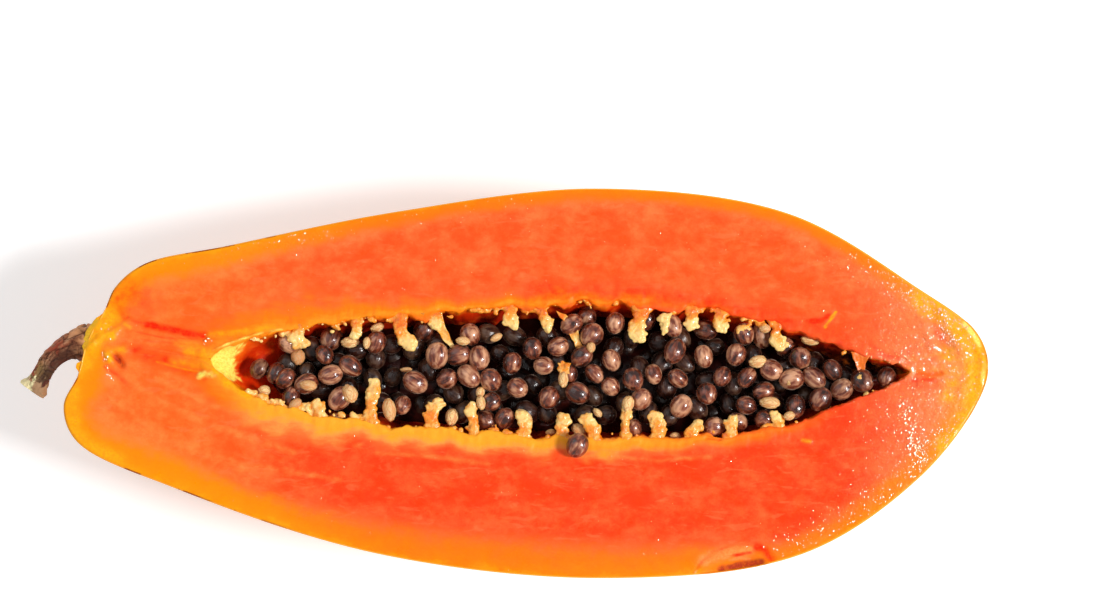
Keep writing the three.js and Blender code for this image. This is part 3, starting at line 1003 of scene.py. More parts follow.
@dataclass(frozen=True)
class PaleSeedFinish(Finish):
    """A seed that never filled: cream, matt and wrinkled, with painted shade in the hollows of its wrinkles.
    """

    cream: Colour = paint(255, 216, 152)
    tan: Colour = paint(196, 138, 96)
    # painted shade in the hollows of the wrinkles
    wrinkle_shade: Colour = paint(214, 142, 78)

    def dress(self, w: Wiring) -> None:
        """Wire the colours, gloss and bump.

        Args:
            w: The material's wiring.
        """
        wrinkle = w.noise(w.stretch(w.own(), 0.35), 1.1, 3.0, drift=0.8)
        colour = w.mix(w.value("tan"), self.cream, self.tan)
        # painted shade: the wrinkles' hollows take the darker colour
        colour = w.mix(w.ease(wrinkle, 0.42, 0.6, 0.85, 0.0), colour, self.wrinkle_shade)
        height = w.blend(wrinkle, 2.0, w.times(w.crumb(w.at, 1100.0, 0.5), 0.4))
        self.surface(w, colour, w.bump(height, 0.6, 0.35))


@dataclass(frozen=True)
class PithFinish(Finish):
    """Placenta tissue: amber where it leaves the wall, cream and crumbly at its tips."""

    shades: Stops = stops((0.05, 240, 112, 12), (0.45, 252, 158, 46), (0.85, 255, 210, 128))

    def dress(self, w: Wiring) -> None:
        """Wire the colours, gloss and bump.

        Args:
            w: The material's wiring.
        """
        cloud = w.clouds(w.at, 420.0, 4.0, 0.8, 2.4)
        colour = w.ramp(w.blend(w.plus(cloud, -0.5), 0.6, w.value("creamy")), self.shades)
        bump = w.bump(w.crumb(w.at, 1300.0, 0.7), 0.6, 0.3)
        self.surface(w, colour, bump, w.ease(cloud, 0.0, 1.0, self.roughness - 0.1, self.roughness + 0.12))


@dataclass(frozen=True)
class ShadeBedFinish(Finish):
    """The dark wet bed under the seeds: its darkness is painted shade for the depth between them."""

    # painted shade for the depth between the seeds, with a dull red in it
    dark: Colour = paint(14, 5, 4)
    red: Colour = paint(58, 12, 4)

    def dress(self, w: Wiring) -> None:
        """Wire the colours, gloss and bump.

        Args:
            w: The material's wiring.
        """
        cloud = w.clouds(w.at, 160.0, 4.0, 0.6, 2.8)
        self.surface(w, w.mix(cloud, self.dark, self.red), w.bump(cloud, 0.5, 0.8))


@dataclass(frozen=True)
class StemFinish(Finish):
    """Dried bark, grey brown with dark cracks and pinkish lights, where the dark of the cracks and of one
    side is painted shade.
    """

    # painted shade for the cracks and the shaded side
    dark: Colour = paint(52, 22, 12)
    bark: Stops = stops((0.05, 52, 22, 12), (0.4, 142, 84, 54), (0.95, 206, 158, 120))
    red: Colour = paint(172, 66, 40)
    olive: Colour = paint(132, 108, 62)
    torn: Colour = paint(250, 236, 180)
    rind: Colour = paint(158, 122, 88)
    husk: Colour = paint(226, 160, 106)

    def dress(self, w: Wiring) -> None:
        """Wire the colours, gloss and bump.

        Args:
            w: The material's wiring.
        """
        own = w.own()
        share, side = w.part(own, "X"), w.part(own, "Y")
        bark = w.clouds(w.stretch(own, 0.5), 0.5, 5.0, 0.8, 2.2)
        patch = w.clouds(w.at, 230.0, 3.0, 0.5, 3.4)
        # painted shade: one side of the stem darkened, beyond its first few millimetres
        under = w.ease(side, -1.4, 2.0, 0.0, 0.85)
        layers = (
            (w.ease(bark, 0.1, 0.6), w.ease(share, 9.0, 4.0, 0.0, 0.85), self.husk),
            (w.ease(patch, 0.3, 0.8), w.ease(share, 7.0, 10.0, 0.1, 0.65), self.red),
            (w.ease(patch, 0.7, 0.4), w.ease(share, 13.0, 16.0, 0.0, 0.8), self.olive),
            (under, w.ease(share, 3.0, 9.0), self.dark),
        )
        colour = w.ramp(bark, self.bark)
        for cover, reach, shade in layers:
            colour = w.mix(w.times(cover, reach), colour, shade)
        pale = w.mix(w.ease(w.blend(patch, -2.4, side), 0.2, -1.6), self.rind, self.torn)
        pale = w.mix(w.ease(patch, 0.4, 1.0, 0.0, 0.4), pale, self.rind)
        colour = w.mix(w.value("torn"), colour, pale)
        # painted shade in the creases
        colour = w.mix(w.times(w.value("crease"), 0.8), colour, self.dark)
        bump = w.bump(w.noise(w.stretch(own, 0.4), 2.4, 4.0), 0.6, 0.4)
        self.surface(w, colour, bump, w.ease(bark, 0.0, 1.0, self.roughness, self.roughness - 0.15))


@dataclass(frozen=True)
class JuiceFinish(Finish):
    """Beads of juice on the cut face."""

    juice: Colour = paint(255, 176, 100)
    deep: Colour = paint(255, 152, 68)

    def dress(self, w: Wiring) -> None:
        """Wire the colours, gloss and bump.

        Args:
            w: The material's wiring.
        """
        cloud = w.clouds(w.at, 60.0, 2.0, 0.2, 1.5)
        self.surface(w, w.mix(cloud, self.deep, self.juice))


# ---- flesh and peel


@dataclass
class Flesh:
    """The cut face with its wall down into the cavity and a plain back under the peel."""

    rings: int = 420
    wall_steps: int = 14
    roll_steps: int = 6
    face_steps: int = 74
    edge_steps: int = 3
    back_steps: int = 4
    peel: float = 0.5
    rim_radius: float = 1.2
    edge_radius: float = 0.8
    spread: float = 0.06  # how much closer the face's columns lie near its edges
    core_inset: float = 3.0  # of the plain back under the peel
    # where the edge bulges: shares along and across, reach and width
    lips: tuple[Quad, ...] = ((0.034, 0.112, 2.0, 6.0), (0.0175, 0.03, 1.7, 1.6))
    # widths of the pale bands, by shares of the length, above and below the cavity
    skin_high: Table = (
        (0, 0.06, 0.124, 0.2, 0.31, 0.42, 0.53, 0.63, 0.85, 1.0),
        (11, 10.5, 9.6, 8, 6.8, 5.5, 6, 5, 5.5, 10),
    )
    skin_low: Table = (
        (0, 0.1, 0.2, 0.31, 0.5, 0.68, 0.78, 0.86, 1.0),
        (11, 12, 9.3, 11.5, 13, 11, 6.5, 8.5, 10),
    )
    rim_high: Table = (
        (0.15, 0.23, 0.31, 0.36, 0.42, 0.53, 0.63, 0.7, 0.8),
        (9, 9, 6.5, 4.2, 3, 3, 2.2, 1.4, 1),
    )
    rim_low: Table = (
        (0.15, 0.23, 0.31, 0.42, 0.49, 0.62, 0.74, 0.85),
        (10, 7.6, 5.2, 5.0, 4.6, 3.9, 2.2, 1.4),
    )
    strength_high: Table = ((0.12, 0.2, 0.57, 0.66, 0.76), (0.5, 1, 1, 0.6, 0))
    strength_low: Table = ((0.12, 0.2, 0.62, 0.74, 0.84), (0.5, 1, 1, 0.6, 0))
    golden: Table = ((0.45, 0.62, 0.75), (1, 0.6, 0.2))
    # how much the wall darkens with depth, real red and painted shade, by share along; less in the pocket
    pocket: Table = ((0.18, 0.225, 0.26), (0.45, 0.6, 1))
    rim_points: Array = field(init=False)
    edge_points: Array = field(init=False)
    torn_rim: Array = field(init=False)

    def build(self) -> Piece:
        """Model the flesh.

        Returns:
            The finished mesh, with its colour marks.
        """
        count = self.rings
        order = np.concatenate([np.arange(count), np.arange(count - 2, -1, -1)])
        side = np.where(np.arange(len(order)) < count, 1.0, -1.0)
        fruit_t = FORM.even(FORM.fruit_ribs, count)[order]
        cavity_t = FORM.even(FORM.cavity_ribs, count)[order]
        columns = self.inside(cavity_t, side)
        rim = columns[-1][:, :2]
        middle, chord = FORM.fruit(fruit_t)
        outer = middle + side[:, None] * chord
        run = outer - rim
        out = run / lengths(run)[:, None]
        start = rim + out * self.rim_radius
        run = np.roll(outer, -2, axis=0) - np.roll(outer, 2, axis=0)
        out = np.column_stack([-run[:, 1], run[:, 0]]) / lengths(run)[:, None]
        out *= np.sign(((outer - rim) * out).sum(axis=1))[:, None]
        lip = 0.0
        ragged = rough(np.column_stack([outer, outer[:, :1] * 0]), (1.2, 1.2, 1), 3.7, 2)
        for along, across, reach, width in self.lips:
            away = lengths(outer - FORM.spot(along, across)) / width
            lip = np.maximum(lip, reach * np.exp(-(away**4)) * (1 + 0.35 * ragged))
        outer = outer + out * np.reshape(lip, (-1, 1))
        end = outer - out * (self.peel - 0.1 + self.edge_radius)
        top = CUT_Z
        for phi in np.linspace(0, np.pi / 2, self.roll_steps + 1)[1:]:
            xy = rim + (start - rim) * (1 - math.cos(phi))
            z = columns[self.wall_steps][:, 2] * (1 - math.sin(phi)) + top * math.sin(phi)
            columns.append(np.column_stack([xy, z]))
        for k in range(1, self.face_steps + 1):
            share = k / self.face_steps
            share -= self.spread * math.sin(2 * math.pi * share)
            columns.append(np.column_stack([start + (end - start) * share, np.full(len(out), top)]))
        for phi in np.linspace(0, np.pi / 2, self.edge_steps + 1)[1:]:
            xy = end + out * self.edge_radius * math.sin(phi)
            columns.append(np.column_stack([xy, np.full(len(out), top - 0.15 * (1 - math.cos(phi)))]))
        columns.append(columns[-1] - (0, 0, 1.5))
        for share in np.linspace(0.03, 1, self.back_steps):
            angle = share * math.pi / 2
            full = FORM.back(fruit_t, np.array([angle, math.pi - angle]), self.core_inset)
            full[..., 2] = np.minimum(full[..., 2], top - self.core_inset)
            shorter = (1 - 2 * self.core_inset / FORM.length, 1, 1)
            columns.append(np.where(side[:, None] > 0, full[:, 0], full[:, 1]) * shorter)
        place = np.stack(columns)
        self.rim_points, self.edge_points = start, outer
        flat = place.reshape(-1, 3)
        near_rim = np.exp(-((self.nearest(start, flat[:, :2]) / 4.5) ** 2))
        lift = self.relief(flat) + near_rim * rough(flat, (2.2, 5, 5), 7.4, 2) * 0.35
        rising, falling = np.linspace(0.3, 1, self.roll_steps), np.linspace(0.7, 0.3, self.edge_steps)
        parts = (np.zeros(self.wall_steps + 1), rising, np.ones(self.face_steps), falling)
        weight = np.concatenate([*parts, np.zeros(1 + self.back_steps)])
        flat[:, 2] += lift * np.repeat(weight, len(order))
        scoop = NICK.depth_at(flat)
        flat[:, 2] = np.minimum(flat[:, 2], top - scoop * 0.95 + np.where(scoop > 0, 0.02, 0.6))
        self.roughen_wall(place)
        self.torn_rim = place[self.wall_steps + 3, :, :2]
        piece = lay_grid("papaya_flesh", place)
        self.paint_marks(piece)
        return piece

    def inside(self, t: Array, side: Array) -> list[Array]:
        """Find the wall's columns, from the floor's middle up to just under the rim.

        Args:
            t: Places of the cavity's ribs.
            side: 1 for the upper wall, -1 for the lower one.

        Returns:
            Arrays of shape (n, 3), one for each column.
        """
        middle, chord = FORM.cavity(np.clip(t, 1e-4, 1 - 1e-4))
        half = lengths(chord)
        full = np.sin(np.pi * t)
        along = FORM.along(middle[:, 0])
        ledge = 0.7 * smooth(along, 0.181, 0.191) + 0.3 * smooth(along, 0.205, 0.25)
        deep = FORM.cavity_depth * full**FORM.end_bluntness * (ledge + (1 - ledge) * 0.3)
        stop = np.minimum(np.arcsin(np.clip(self.rim_radius / np.maximum(deep, 1e-6), 0, 1)), 1.2)
        columns = []
        for share in np.linspace(0, 1, self.wall_steps + 1):
            angle = np.pi / 2 + (stop - np.pi / 2) * share
            lean = side * np.cos(angle)
            reach = np.maximum(half + full * FORM.wave(middle[:, 0], lean), 0.05)
            xy = middle + chord * (lean * reach / half)[:, None]
            columns.append(np.column_stack([xy, CUT_Z - deep * np.sin(angle)]))
        return columns

    def roughen_wall(self, place: Array) -> None:
        """Push the wall and its rim about, so that the seeds' bed looks torn.

        Args:
            place: The table of points, changed in place.
        """
        last = self.wall_steps + self.roll_steps
        soft, first = 12, 6  # columns that the push fades over, past the rim and at the floor
        part = place[: last + 1 + soft].reshape(-1, 3)
        depth = np.clip(CUT_Z - part[:, 2], 0, 4) / 4
        offset = part[:, 1] - self.spine(part[:, 0])
        along = FORM.along(part[:, 0])
        lobe = 1.2 + 0.8 * (offset > 0) * smooth(along, 0.27, 0.32) * smooth(along, 0.8, 0.7)
        push = rough(part, (4.5, 9.0, 8.0), 3.1, 1) * lobe
        push += rough(part, (2.2, 2.8, 2.4), 4.7, 2) * 0.5 + rough(part, 0.9, 9.1, 2) * 0.2
        past = np.linspace(1, 0, soft + 1)[1:] ** 2
        fade = np.concatenate([np.linspace(0, 1, first), np.ones(last + 1 - first), past])
        fade = np.repeat(fade, place.shape[1])
        push = np.minimum(push + 0.15, np.abs(offset) * 0.35)
        part[:, 1] -= np.sign(offset) * push * fade
        part[:, 2] += rough(part, 2.4, 15.3, 2) * 0.4 * fade * np.minimum(depth * 3, 1)

    def spine(self, x: Array) -> Array:
        """Find the cavity's middle line at x."""
        middle = FORM.cavity(np.linspace(0, 1, 60))[0]
        return np.interp(x, middle[:, 0], middle[:, 1])

    def relief(self, points: Array) -> Array:
        """Find how far each point of the cut face stands above its plane.

        Args:
            points: Array of shape (n, 3) in millimetres.

        Returns:
            Heights in millimetres, mostly below 0.
        """
        lift = rough(points, (16, 8, 9), 2.2, 2) * 0.16 + rough(points, (3.4, 1.7, 3), 6.4, 2) * 0.05
        blossom = smooth(FORM.along(points[:, 0]), 0.82, 0.92)
        lift += rough(points, (1.9, 1.6, 1.6), 14.2, 2) * 0.17 * blossom
        lift += rough(points, (5, 4, 4), 9.4, 1) * 0.28 * blossom
        ragged = 1 + 0.3 * rough(points, (1.6, 1.6, 2), 11.0, 1)
        for stroke in STROKES:
            if stroke.depth:
                lift -= stroke.falloff(points[:, :2]) * stroke.depth * ragged
        return lift - 0.1

    def nearest(self, line: Array, places: Array) -> Array:
        """Find each place's distance to a line of points that are close together."""
        tree = search_tree(line)
        return np.array([tree.find((x, y, 0))[2] for x, y in places.tolist()])

    def paint_marks(self, piece: Piece) -> None:
        """Keep, for each vertex, what its colour depends on.

        Args:
            piece: The flesh.
        """
        points = coordinates(piece)
        xy = points[:, :2]
        along = FORM.along(xy[:, 0])
        offset = xy[:, 1] - self.spine(xy[:, 0])
        upper = offset > 0
        below = CUT_Z - points[:, 2]
        skin = self.nearest(self.edge_points, xy)
        rim = self.nearest(self.rim_points, xy) * (1 + 0.5 * rough(points, (8, 5, 9), 12.7, 2))

        def either(high: Table, low: Table) -> Array:
            """Read one table above the cavity and the other below it."""
            return np.where(upper, np.interp(along, *high), np.interp(along, *low))

        mark(piece, "ripeness", np.clip(skin / either(self.skin_high, self.skin_low), 0, 1.5))
        mark(piece, "rim", np.clip(rim / either(self.rim_high, self.rim_low), 0, 1.5))
        mark(piece, "rim_strength", either(self.strength_high, self.strength_low))
        golden = np.where(upper, 0.1, np.interp(along, *self.golden))
        mark(piece, "golden", golden * smooth(along, 0.16, 0.22))
        # the wall's mark: its depth, less in the pocket, plus painted shade under the upper rim at the
        # blossom end
        painted_rim_shade = 0.6 * smooth(along, 0.74, 0.8) * upper * smooth(below, 1.2, 3.0)
        deep = np.clip((below - 0.9) / 9, 0, 0.8) * np.interp(along, *self.pocket)
        mark(piece, "wall", np.clip(deep + painted_rim_shade, 0, 1) * (skin > 9))
        mark(piece, "paleness", smooth(along, 0.84, 0.98) * 0.85)
        lit = smooth(along, 0.12, 0.16) * smooth(along, 0.34, 0.3) * upper
        lit += smooth(along, 0.74, 0.8) * ~upper
        sparkling = smooth(skin, 8, 3) * smooth(skin, 1.0, 2.5) * lit
        blossom = smooth(along, 0.8, 0.9) * (0.3 + 0.5 * smooth(skin, 2, 7))
        mark(piece, "wet", np.maximum(blossom, sparkling * 0.25))
        # the pale crescent where the cavity's pocket begins
        torn = along + 0.008 * rough(points, 1.8, 5.1, 3)
        torn -= np.where(upper, 0.006, 0.002) * np.minimum((offset / 4) ** 2, 1.5)
        crescent = smooth(torn, 0.188, 0.177) * smooth(below, 0.3, 0.7)
        crescent *= (along > 0.156) * smooth(np.abs(offset), 6.2, 5.6)
        ragged = rough(points, 2.2, 3.3, 2)
        for tint in Tint:
            cover = crescent if tint is CREAM else np.zeros(len(points))
            edge = 1 + (1.2 if tint is CREAM else 0.35) * ragged
            for stroke in STROKES:
                if stroke.tint is tint:
                    cover = np.maximum(cover, np.clip(stroke.falloff(xy) * stroke.strength * edge, 0, 1))
            mark(piece, tint.value, cover)


@dataclass
class Peel:
    """The thin skin round the back, up to the cut edge."""

    rings: int = 300
    steps: int = 100
    thickness: float = 0.5
    top_gap: float = 0.45

    def build(self) -> Piece:
        """Model the peel.

        Returns:
            The finished mesh.
        """
        t = FORM.even(FORM.fruit_ribs, self.rings)
        angle = np.linspace(0, np.pi, self.steps)
        place = FORM.back(t, angle, 0.0)
        flat = place.reshape(-1, 3)
        dents = np.clip(0.5 + 0.5 * rough(flat, (26, 14, 14), 8.8, 3), 0, 1)
        fine = np.clip(0.5 + 0.5 * rough(flat, (4, 3, 3), 2.9, 2), 0, 1)
        inward = dents * 0.5 + fine * 0.07
        middle = FORM.fruit(t)[0]
        heart = np.concatenate([middle, np.full((len(middle), 1), CUT_Z)], axis=1)[:, None, :]
        away = place - heart
        reach = np.linalg.norm(away, axis=2, keepdims=True)
        near_cut = smooth(np.abs(angle - np.pi / 2), np.pi / 2, np.pi / 2 - 0.25)
        amount = inward.reshape(place.shape[:2]) * near_cut[None, :] * smooth(reach[..., 0], 0, 8)
        place -= away / np.maximum(reach, 1e-6) * amount[..., None]
        flat = place.reshape(-1, 3)
        flat[:, 2] = np.clip(flat[:, 2], 0, CUT_Z - NICK.depth_at(flat) - self.top_gap)
        flat[:, 1] = np.clip(flat[:, 1], CAD_BOX[0][1] / MM + 0.01, CAD_BOX[1][1] / MM - 0.01)
        piece = lay_grid("papaya_peel", place)
        points, normals = coordinates(piece), read(piece.data.vertex_normals, "vector")
        if np.mean(((points - points.mean(axis=0)) * normals).sum(axis=1)) < 0:
            edit(piece, bpy.ops.mesh.flip_normals)
        apply_modifier(piece, "SOLIDIFY", thickness=self.thickness * MM, offset=-1.0, use_rim=True)
        mark(piece, "cut", smooth(coordinates(piece)[:, 2], CUT_Z - 1.1, CUT_Z - 0.3))
        bpy.ops.object.shade_smooth()
        return piece


# ---- seeds


@dataclass(frozen=True)
class Strand:
    """A placenta thread that hangs over the seeds, as in the CAD model."""

    at: float
    side: int
    reach: float
    radius: float

    def ends(self) -> tuple[Array, Array]:
        """Find the thread's ends on the cut face, in millimetres."""
        t = np.linspace(0, 1, 101)
        middle, chord = FORM.cavity(t)
        x = FORM.spot(self.at, 0)[0]
        k = int(np.abs(middle[:, 0] - x).argmin())
        rim = middle[k, 1] + self.side * np.linalg.norm(chord[k])
        lean = 0.18 * math.sin(40 * self.at)
        root, tip = (np.array([x + lean * inward, rim - self.side * inward]) for inward in (-3.0, self.reach))
        return root, tip


STRAND_ROWS = (
    (0.277, -1, 3.5, 1.7), (0.332, -1, 12, 2), (0.398, -1, 8, 2.3), (0.444, -1, 8, 1.6),
    (0.497, -1, 6, 2), (0.539, -1, 6, 2.2), (0.574, -1, 6.5, 2.1), (0.608, -1, 9, 1.5),
    (0.642, -1, 7, 2.5), (0.679, -1, 4.5, 1.9), (0.72, -1, 5, 1.9), (0.773, -1, 4, 1.5),
    (0.255, 1, 5, 2), (0.315, 1, 5.5, 1.4), (0.362, 1, 10, 2.5), (0.4, 1, 4, 1.8), (0.48, 1, 5.5, 2),
    (0.515, 1, 7, 1.7), (0.624, 1, 10, 2.8), (0.68, 1, 5, 1.9), (0.712, 1, 4.5, 2.2), (0.772, 1, 6.5, 2),
)
STRANDS = tuple(Strand(*row) for row in STRAND_ROWS)


class Draws:
    """Random numbers from 0 to 1 that are the same in each run and in the CAD model."""

    def __init__(self, start: int) -> None:
        """Keep the starting number."""
        self.state = start

    def next(self) -> float:
        """Draw one number."""
        self.state = (self.state * 1664525 + 1013904223) % 2**32
        return self.state / 2**32


@dataclass(frozen=True)
class PaleSeed:
    """One unfilled seed: its place in shares, its sizes in millimetres and its turn."""

    along: float
    across: float
    length: float
    width: float
    turn: float
    tan: float = 0.0


PALE_ROWS = (
    (0.308, 0.096, 5.3, 3.5, 5), (0.327, 0.091, 3.5, 2.1, 85), (0.264, -0.018, 5.0, 3.2, -8, 0.5),
    (0.309, -0.039, 5.6, 4.4, -60, 0.25), (0.352, -0.08, 6.7, 3.8, 100, 0.45),
    (0.419, -0.096, 5.0, 3.8, 80), (0.45, -0.034, 3.2, 2.6, 80), (0.451, -0.062, 4.4, 2.6, 100, 0.1),
    (0.54, -0.003, 4.7, 2.9, 90, 0.1), (0.498, -0.096, 5.6, 3.2, -45),
    (0.557, -0.129, 4.7, 3.5, -30, 0.3), (0.577, -0.085, 3.2, 2.1, -45), (0.61, -0.065, 4.7, 3.5, 80),
    (0.81, 0.104, 5.9, 3.5, 0, 0.1), (0.751, 0.044, 5.3, 3.8, 10, 0.1),
    (0.763, -0.062, 5.9, 3.5, -5, 0.2), (0.784, -0.096, 3.5, 2.6, 20, 0.3), (0.215, -0.028, 3.5, 3.2, 0),
    (0.337, 0.135, 4.1, 2.6, 20, 0.1), (0.431, 0.096, 4.1, 2.6, -5, 0.1),
    (0.467, 0.109, 3.8, 2.1, 30, 0.2), (0.57, 0.08, 3.2, 2.6, 90, 0.4),
    (0.661, -0.145, 3.2, 2.3, 0, 0.4), (0.526, -0.135, 2.9, 1.8, 10, 0.4),
    (0.251, 0.06, 4.7, 4.1, 90, 0.8), (0.369, 0.026, 3.5, 1.5, 0, 0.5),
    (0.294, -0.096, 3.2, 2.3, -20, 0.4), (0.25, -0.065, 4.1, 2.6, 35, 0.7),
    (0.759, 0.129, 3.4, 2.6, 0, 0.4), (0.785, -0.008, 2.6, 2.0, 60, 0.4),
)
PALE_SEEDS = tuple(PaleSeed(*row) for row in PALE_ROWS)


@dataclass
class SeedHeap:
    """The seeds in their layers, the pale ones among them and the bed below, dark with painted shade."""

    length: float = 7.5
    width: float = 6.5
    spacing: float = 6.0
    layer_spacing: float = 3.9
    darts: int = 5000
    filling_darts: int = 4200
    lowest: float = 12.5
    fullness: float = 0.93
    stray: Triple = (0.555, -0.1735, 2.25)  # shares along and across, and height in millimetres
    # two seeds in the pocket: shares along and across, height and turn
    first: tuple[Quad, ...] = ((0.2085, 0.03, -6.0, 1.0), (0.227, 0.018, -5.2, 1.1))
    random: Draws = field(default_factory=lambda: Draws(2024))
    places: list[tuple[float, float, float, float, Triple]] = field(default_factory=list)

    def throw(self, above: list[dict], edge: float) -> list[dict]:
        """Throw darts over the cavity, and keep those that land clear of the others.

        Args:
            above: The layer above.
            edge: Least distance from the rim.

        Returns:
            The kept darts, with their place, lift and spin.
        """
        rows = np.array([[self.random.next() for _ in range(6)] for _ in range(self.darts)])
        middle, chord = FORM.cavity(0.13 + (0.89 - 0.13) * rows[:, 0])
        side = 2 * rows[:, 1] - 1
        spots = middle + chord * side[:, None]
        inside = lengths(chord) * (1 - np.abs(side)) > edge
        kept: list[dict] = []
        upper = np.array([s["spot"] for s in above]).reshape(-1, 2)
        for k in np.flatnonzero(inside):
            spot = spots[k]
            if kept and min(math.dist(spot, s["spot"]) for s in kept) <= self.spacing:
                continue
            if len(upper) and lengths(upper - spot).min() <= self.layer_spacing:
                continue
            if len(upper) or self.clear_overhead(spot):
                kept.append({"spot": spot, "lift": rows[k, 2], "spin": rows[k, 3:6]})
        return kept

    def clear_overhead(self, spot: Array) -> bool:
        """Whether a top seed stays clear of the threads and the stray seed.

        Args:
            spot: Its place.

        Returns:
            True if it does.
        """
        gap = self.length / 2 + 0.35
        for strand in STRANDS:
            if from_segment(spot, *strand.ends()) <= strand.radius + gap:
                return False
        stray = FORM.spot(*self.stray[:2])
        return np.linalg.norm(stray - spot) > gap + self.length / 2

    def pile(self) -> None:
        """Settle where every seed lies: two layers as in the CAD model, then the filling."""
        top = self.throw([], 0.7 * self.width)
        low = self.throw(top, 0.9 * self.width)
        for layer, (deep, shallow) in ((top, (3.6, 2.2)), (low, (7.2, 6.8))):
            for s in layer:
                z = -(deep + (shallow - deep) * s["lift"])
                turn = (s["spin"][0] - 0.5, s["spin"][1] - 0.5, s["spin"][2] * math.pi)
                sunk = float(np.interp(s["spot"][0], [-93.0, -80.0], [2.6, 0.0]))
                if s["spot"][0] > FORM.spot(0.236, 0)[0]:
                    self.places.append((*s["spot"], z - sunk, 0.9 + 0.2 * s["lift"], turn))
        for along, across, z, angle in self.first:
            self.places.append((*FORM.spot(along, across), z, 0.95, (0.3, 0.2, angle)))
        self.fill()

    def fill(self) -> None:
        """Drop more seeds into the gaps, each as high as its neighbours let it lie."""
        rng = np.random.default_rng(11)
        rows = rng.random((self.filling_darts, 6))
        t = 0.08 + 0.86 * rows[:, 0]
        middle, chord = FORM.cavity(t)
        side = 2 * rows[:, 1] - 1
        spots = middle + chord * side[:, None]
        half = lengths(chord)
        deepest = FORM.cavity_depth * np.sin(np.pi * t) ** FORM.end_bluntness
        taken = np.array([[x, y, z] for x, y, z, _, _ in self.places])
        strands = [(s.ends(), s.radius) for s in STRANDS]
        near_top = self.filling_darts // 5
        for k, spot in enumerate(spots):
            if half[k] * (1 - abs(side[k])) < 2.4 or spot[0] < FORM.spot(0.235, 0)[0]:
                continue
            gap = lengths(taken[:, :2] - spot)
            high = k < near_top
            room = 5.7 if high else 6.0
            z = -3.4 - 2.2 * rows[k, 2] if high else -8.6 - 2.5 * rows[k, 2]
            near = gap < room
            if near.any():
                z = min(z, float((taken[near, 2] - np.sqrt(room**2 - gap[near] ** 2)).min()))
            if any(from_segment(spot, *ends) < radius + 2.0 for ends, radius in strands):
                z = min(z, -4.9)
            if high and z < -5.6:
                continue
            wall = deepest[k] * math.sqrt(max(1 - (abs(side[k]) + 2.2 / half[k]) ** 2, 0))
            if z < -self.lowest or -z + 1.4 > wall:
                continue
            turn = tuple((rows[k, 3:6] - 0.5) * (2.4, 2.4, 6.28))
            self.places.append((*spot, z, 0.9 + 0.2 * rows[k, 2], turn))
            taken = np.vstack([taken, [*spot, z]])

    def pattern(self, segments: int = 10, rings: int = 8) -> Piece:
        """Model one seed, its long axis along X and a little fuller at one end.

        Args:
            segments: Faces round the seed.
            rings: Faces from end to end.

        Returns:
            The seed about the origin, in millimetres.
        """
        piece = primitive("uv_sphere", segments=segments, ring_count=rings, radius=1)
        edit(piece, lambda: bpy.ops.transform.resize(value=(self.width / 2, self.width / 2, self.length / 2)))
        for v in piece.data.vertices:
            x, y, z = v.co
            full = 1 + 0.05 * z / self.length * 2
            v.co = (z, x * full, y * full * 0.97)
        return piece

    def build_seeds(self) -> Piece:
        """Model the seeds of the heap.

        Returns:
            One mesh.
        """
        self.pile()
        rng = np.random.default_rng(5)
        matrices = []
        for x, y, z, size, turn in self.places:
            sizes = self.fullness * size * (1 + 0.14 * (rng.random(3) - 0.5))
            matrices.append(Matrix.LocRotScale((x, y, CUT_Z + z), Euler(turn), sizes))
        piece = copies("papaya_seeds", self.pattern(), matrices)
        # painted shade: the sunk mark grows with each seed's depth and rises towards the blossom end
        depth = np.repeat([-place[2] for place in self.places], len(piece.data.vertices) // len(self.places))
        along = FORM.along(coordinates(piece)[:, 0])
        mark(piece, "sunk", np.maximum(smooth(depth, 4.0, 7.6) * 0.95, smooth(along, 0.78, 0.84) * 0.3))
        return piece

    def build_stray(self) -> Piece:
        """Model the seed that dropped on the flesh.

        Returns:
            Its mesh.
        """
        x, y = FORM.spot(*self.stray[:2])
        turn = Euler((0.2, 0.15, 1.1), "ZYX")
        place = Matrix.LocRotScale((x, y, CUT_Z + self.stray[2]), turn, None)
        return copies("stray_seed", self.pattern(20, 14), [place])

    def build_pale(self) -> Piece:
        """Model the pale seeds, wrinkled and each with its own sizes.

        Returns:
            One mesh.
        """
        pattern = self.pattern(20, 14)
        for v in pattern.data.vertices:
            folds = noise.noise(v.co * Vector((0.6, 1.8, 1.8)))
            v.co = v.co * (1 + 0.12 * noise.noise(v.co * 0.8) + 0.09 * folds)
        rng = np.random.default_rng(3)
        matrices = []
        for seed in PALE_SEEDS:
            x, y = FORM.spot(seed.along, seed.across)
            depth = self.height_over(x, y, seed.width / 2)
            sizes = (seed.length / self.length, seed.width / self.width, 0.85 * seed.width / self.width)
            tilt = (0.5 * (rng.random() - 0.5), 0.4 * (rng.random() - 0.5), math.radians(seed.turn))
            matrices.append(Matrix.LocRotScale((x, y, CUT_Z + depth), Euler(tilt), sizes))
        piece = copies("pale_seeds", pattern, matrices)
        each = len(piece.data.vertices) // len(PALE_SEEDS)
        mark(piece, "tan", np.repeat([s.tan for s in PALE_SEEDS], each))
        return piece

    def height_over(self, x: float, y: float, half: float) -> float:
        """Find how deep a small thing comes to lie on the seeds at a place.

        Args:
            x: Its place along the fruit.
            y: Its place across.
            half: Its half height.

        Returns:
            Its middle's height over the cut face, below 0.
        """
        taken = np.array([[a, b, z] for a, b, z, _, _ in self.places])
        gap = lengths(taken[:, :2] - (x, y))
        reach = self.width / 2 + half * 0.8
        near = gap < reach
        if not near.any():
            return -4.0
        z = float((taken[near, 2] + np.sqrt(reach**2 - gap[near] ** 2)).max())
        return min(max(z, -6.0), -0.2)

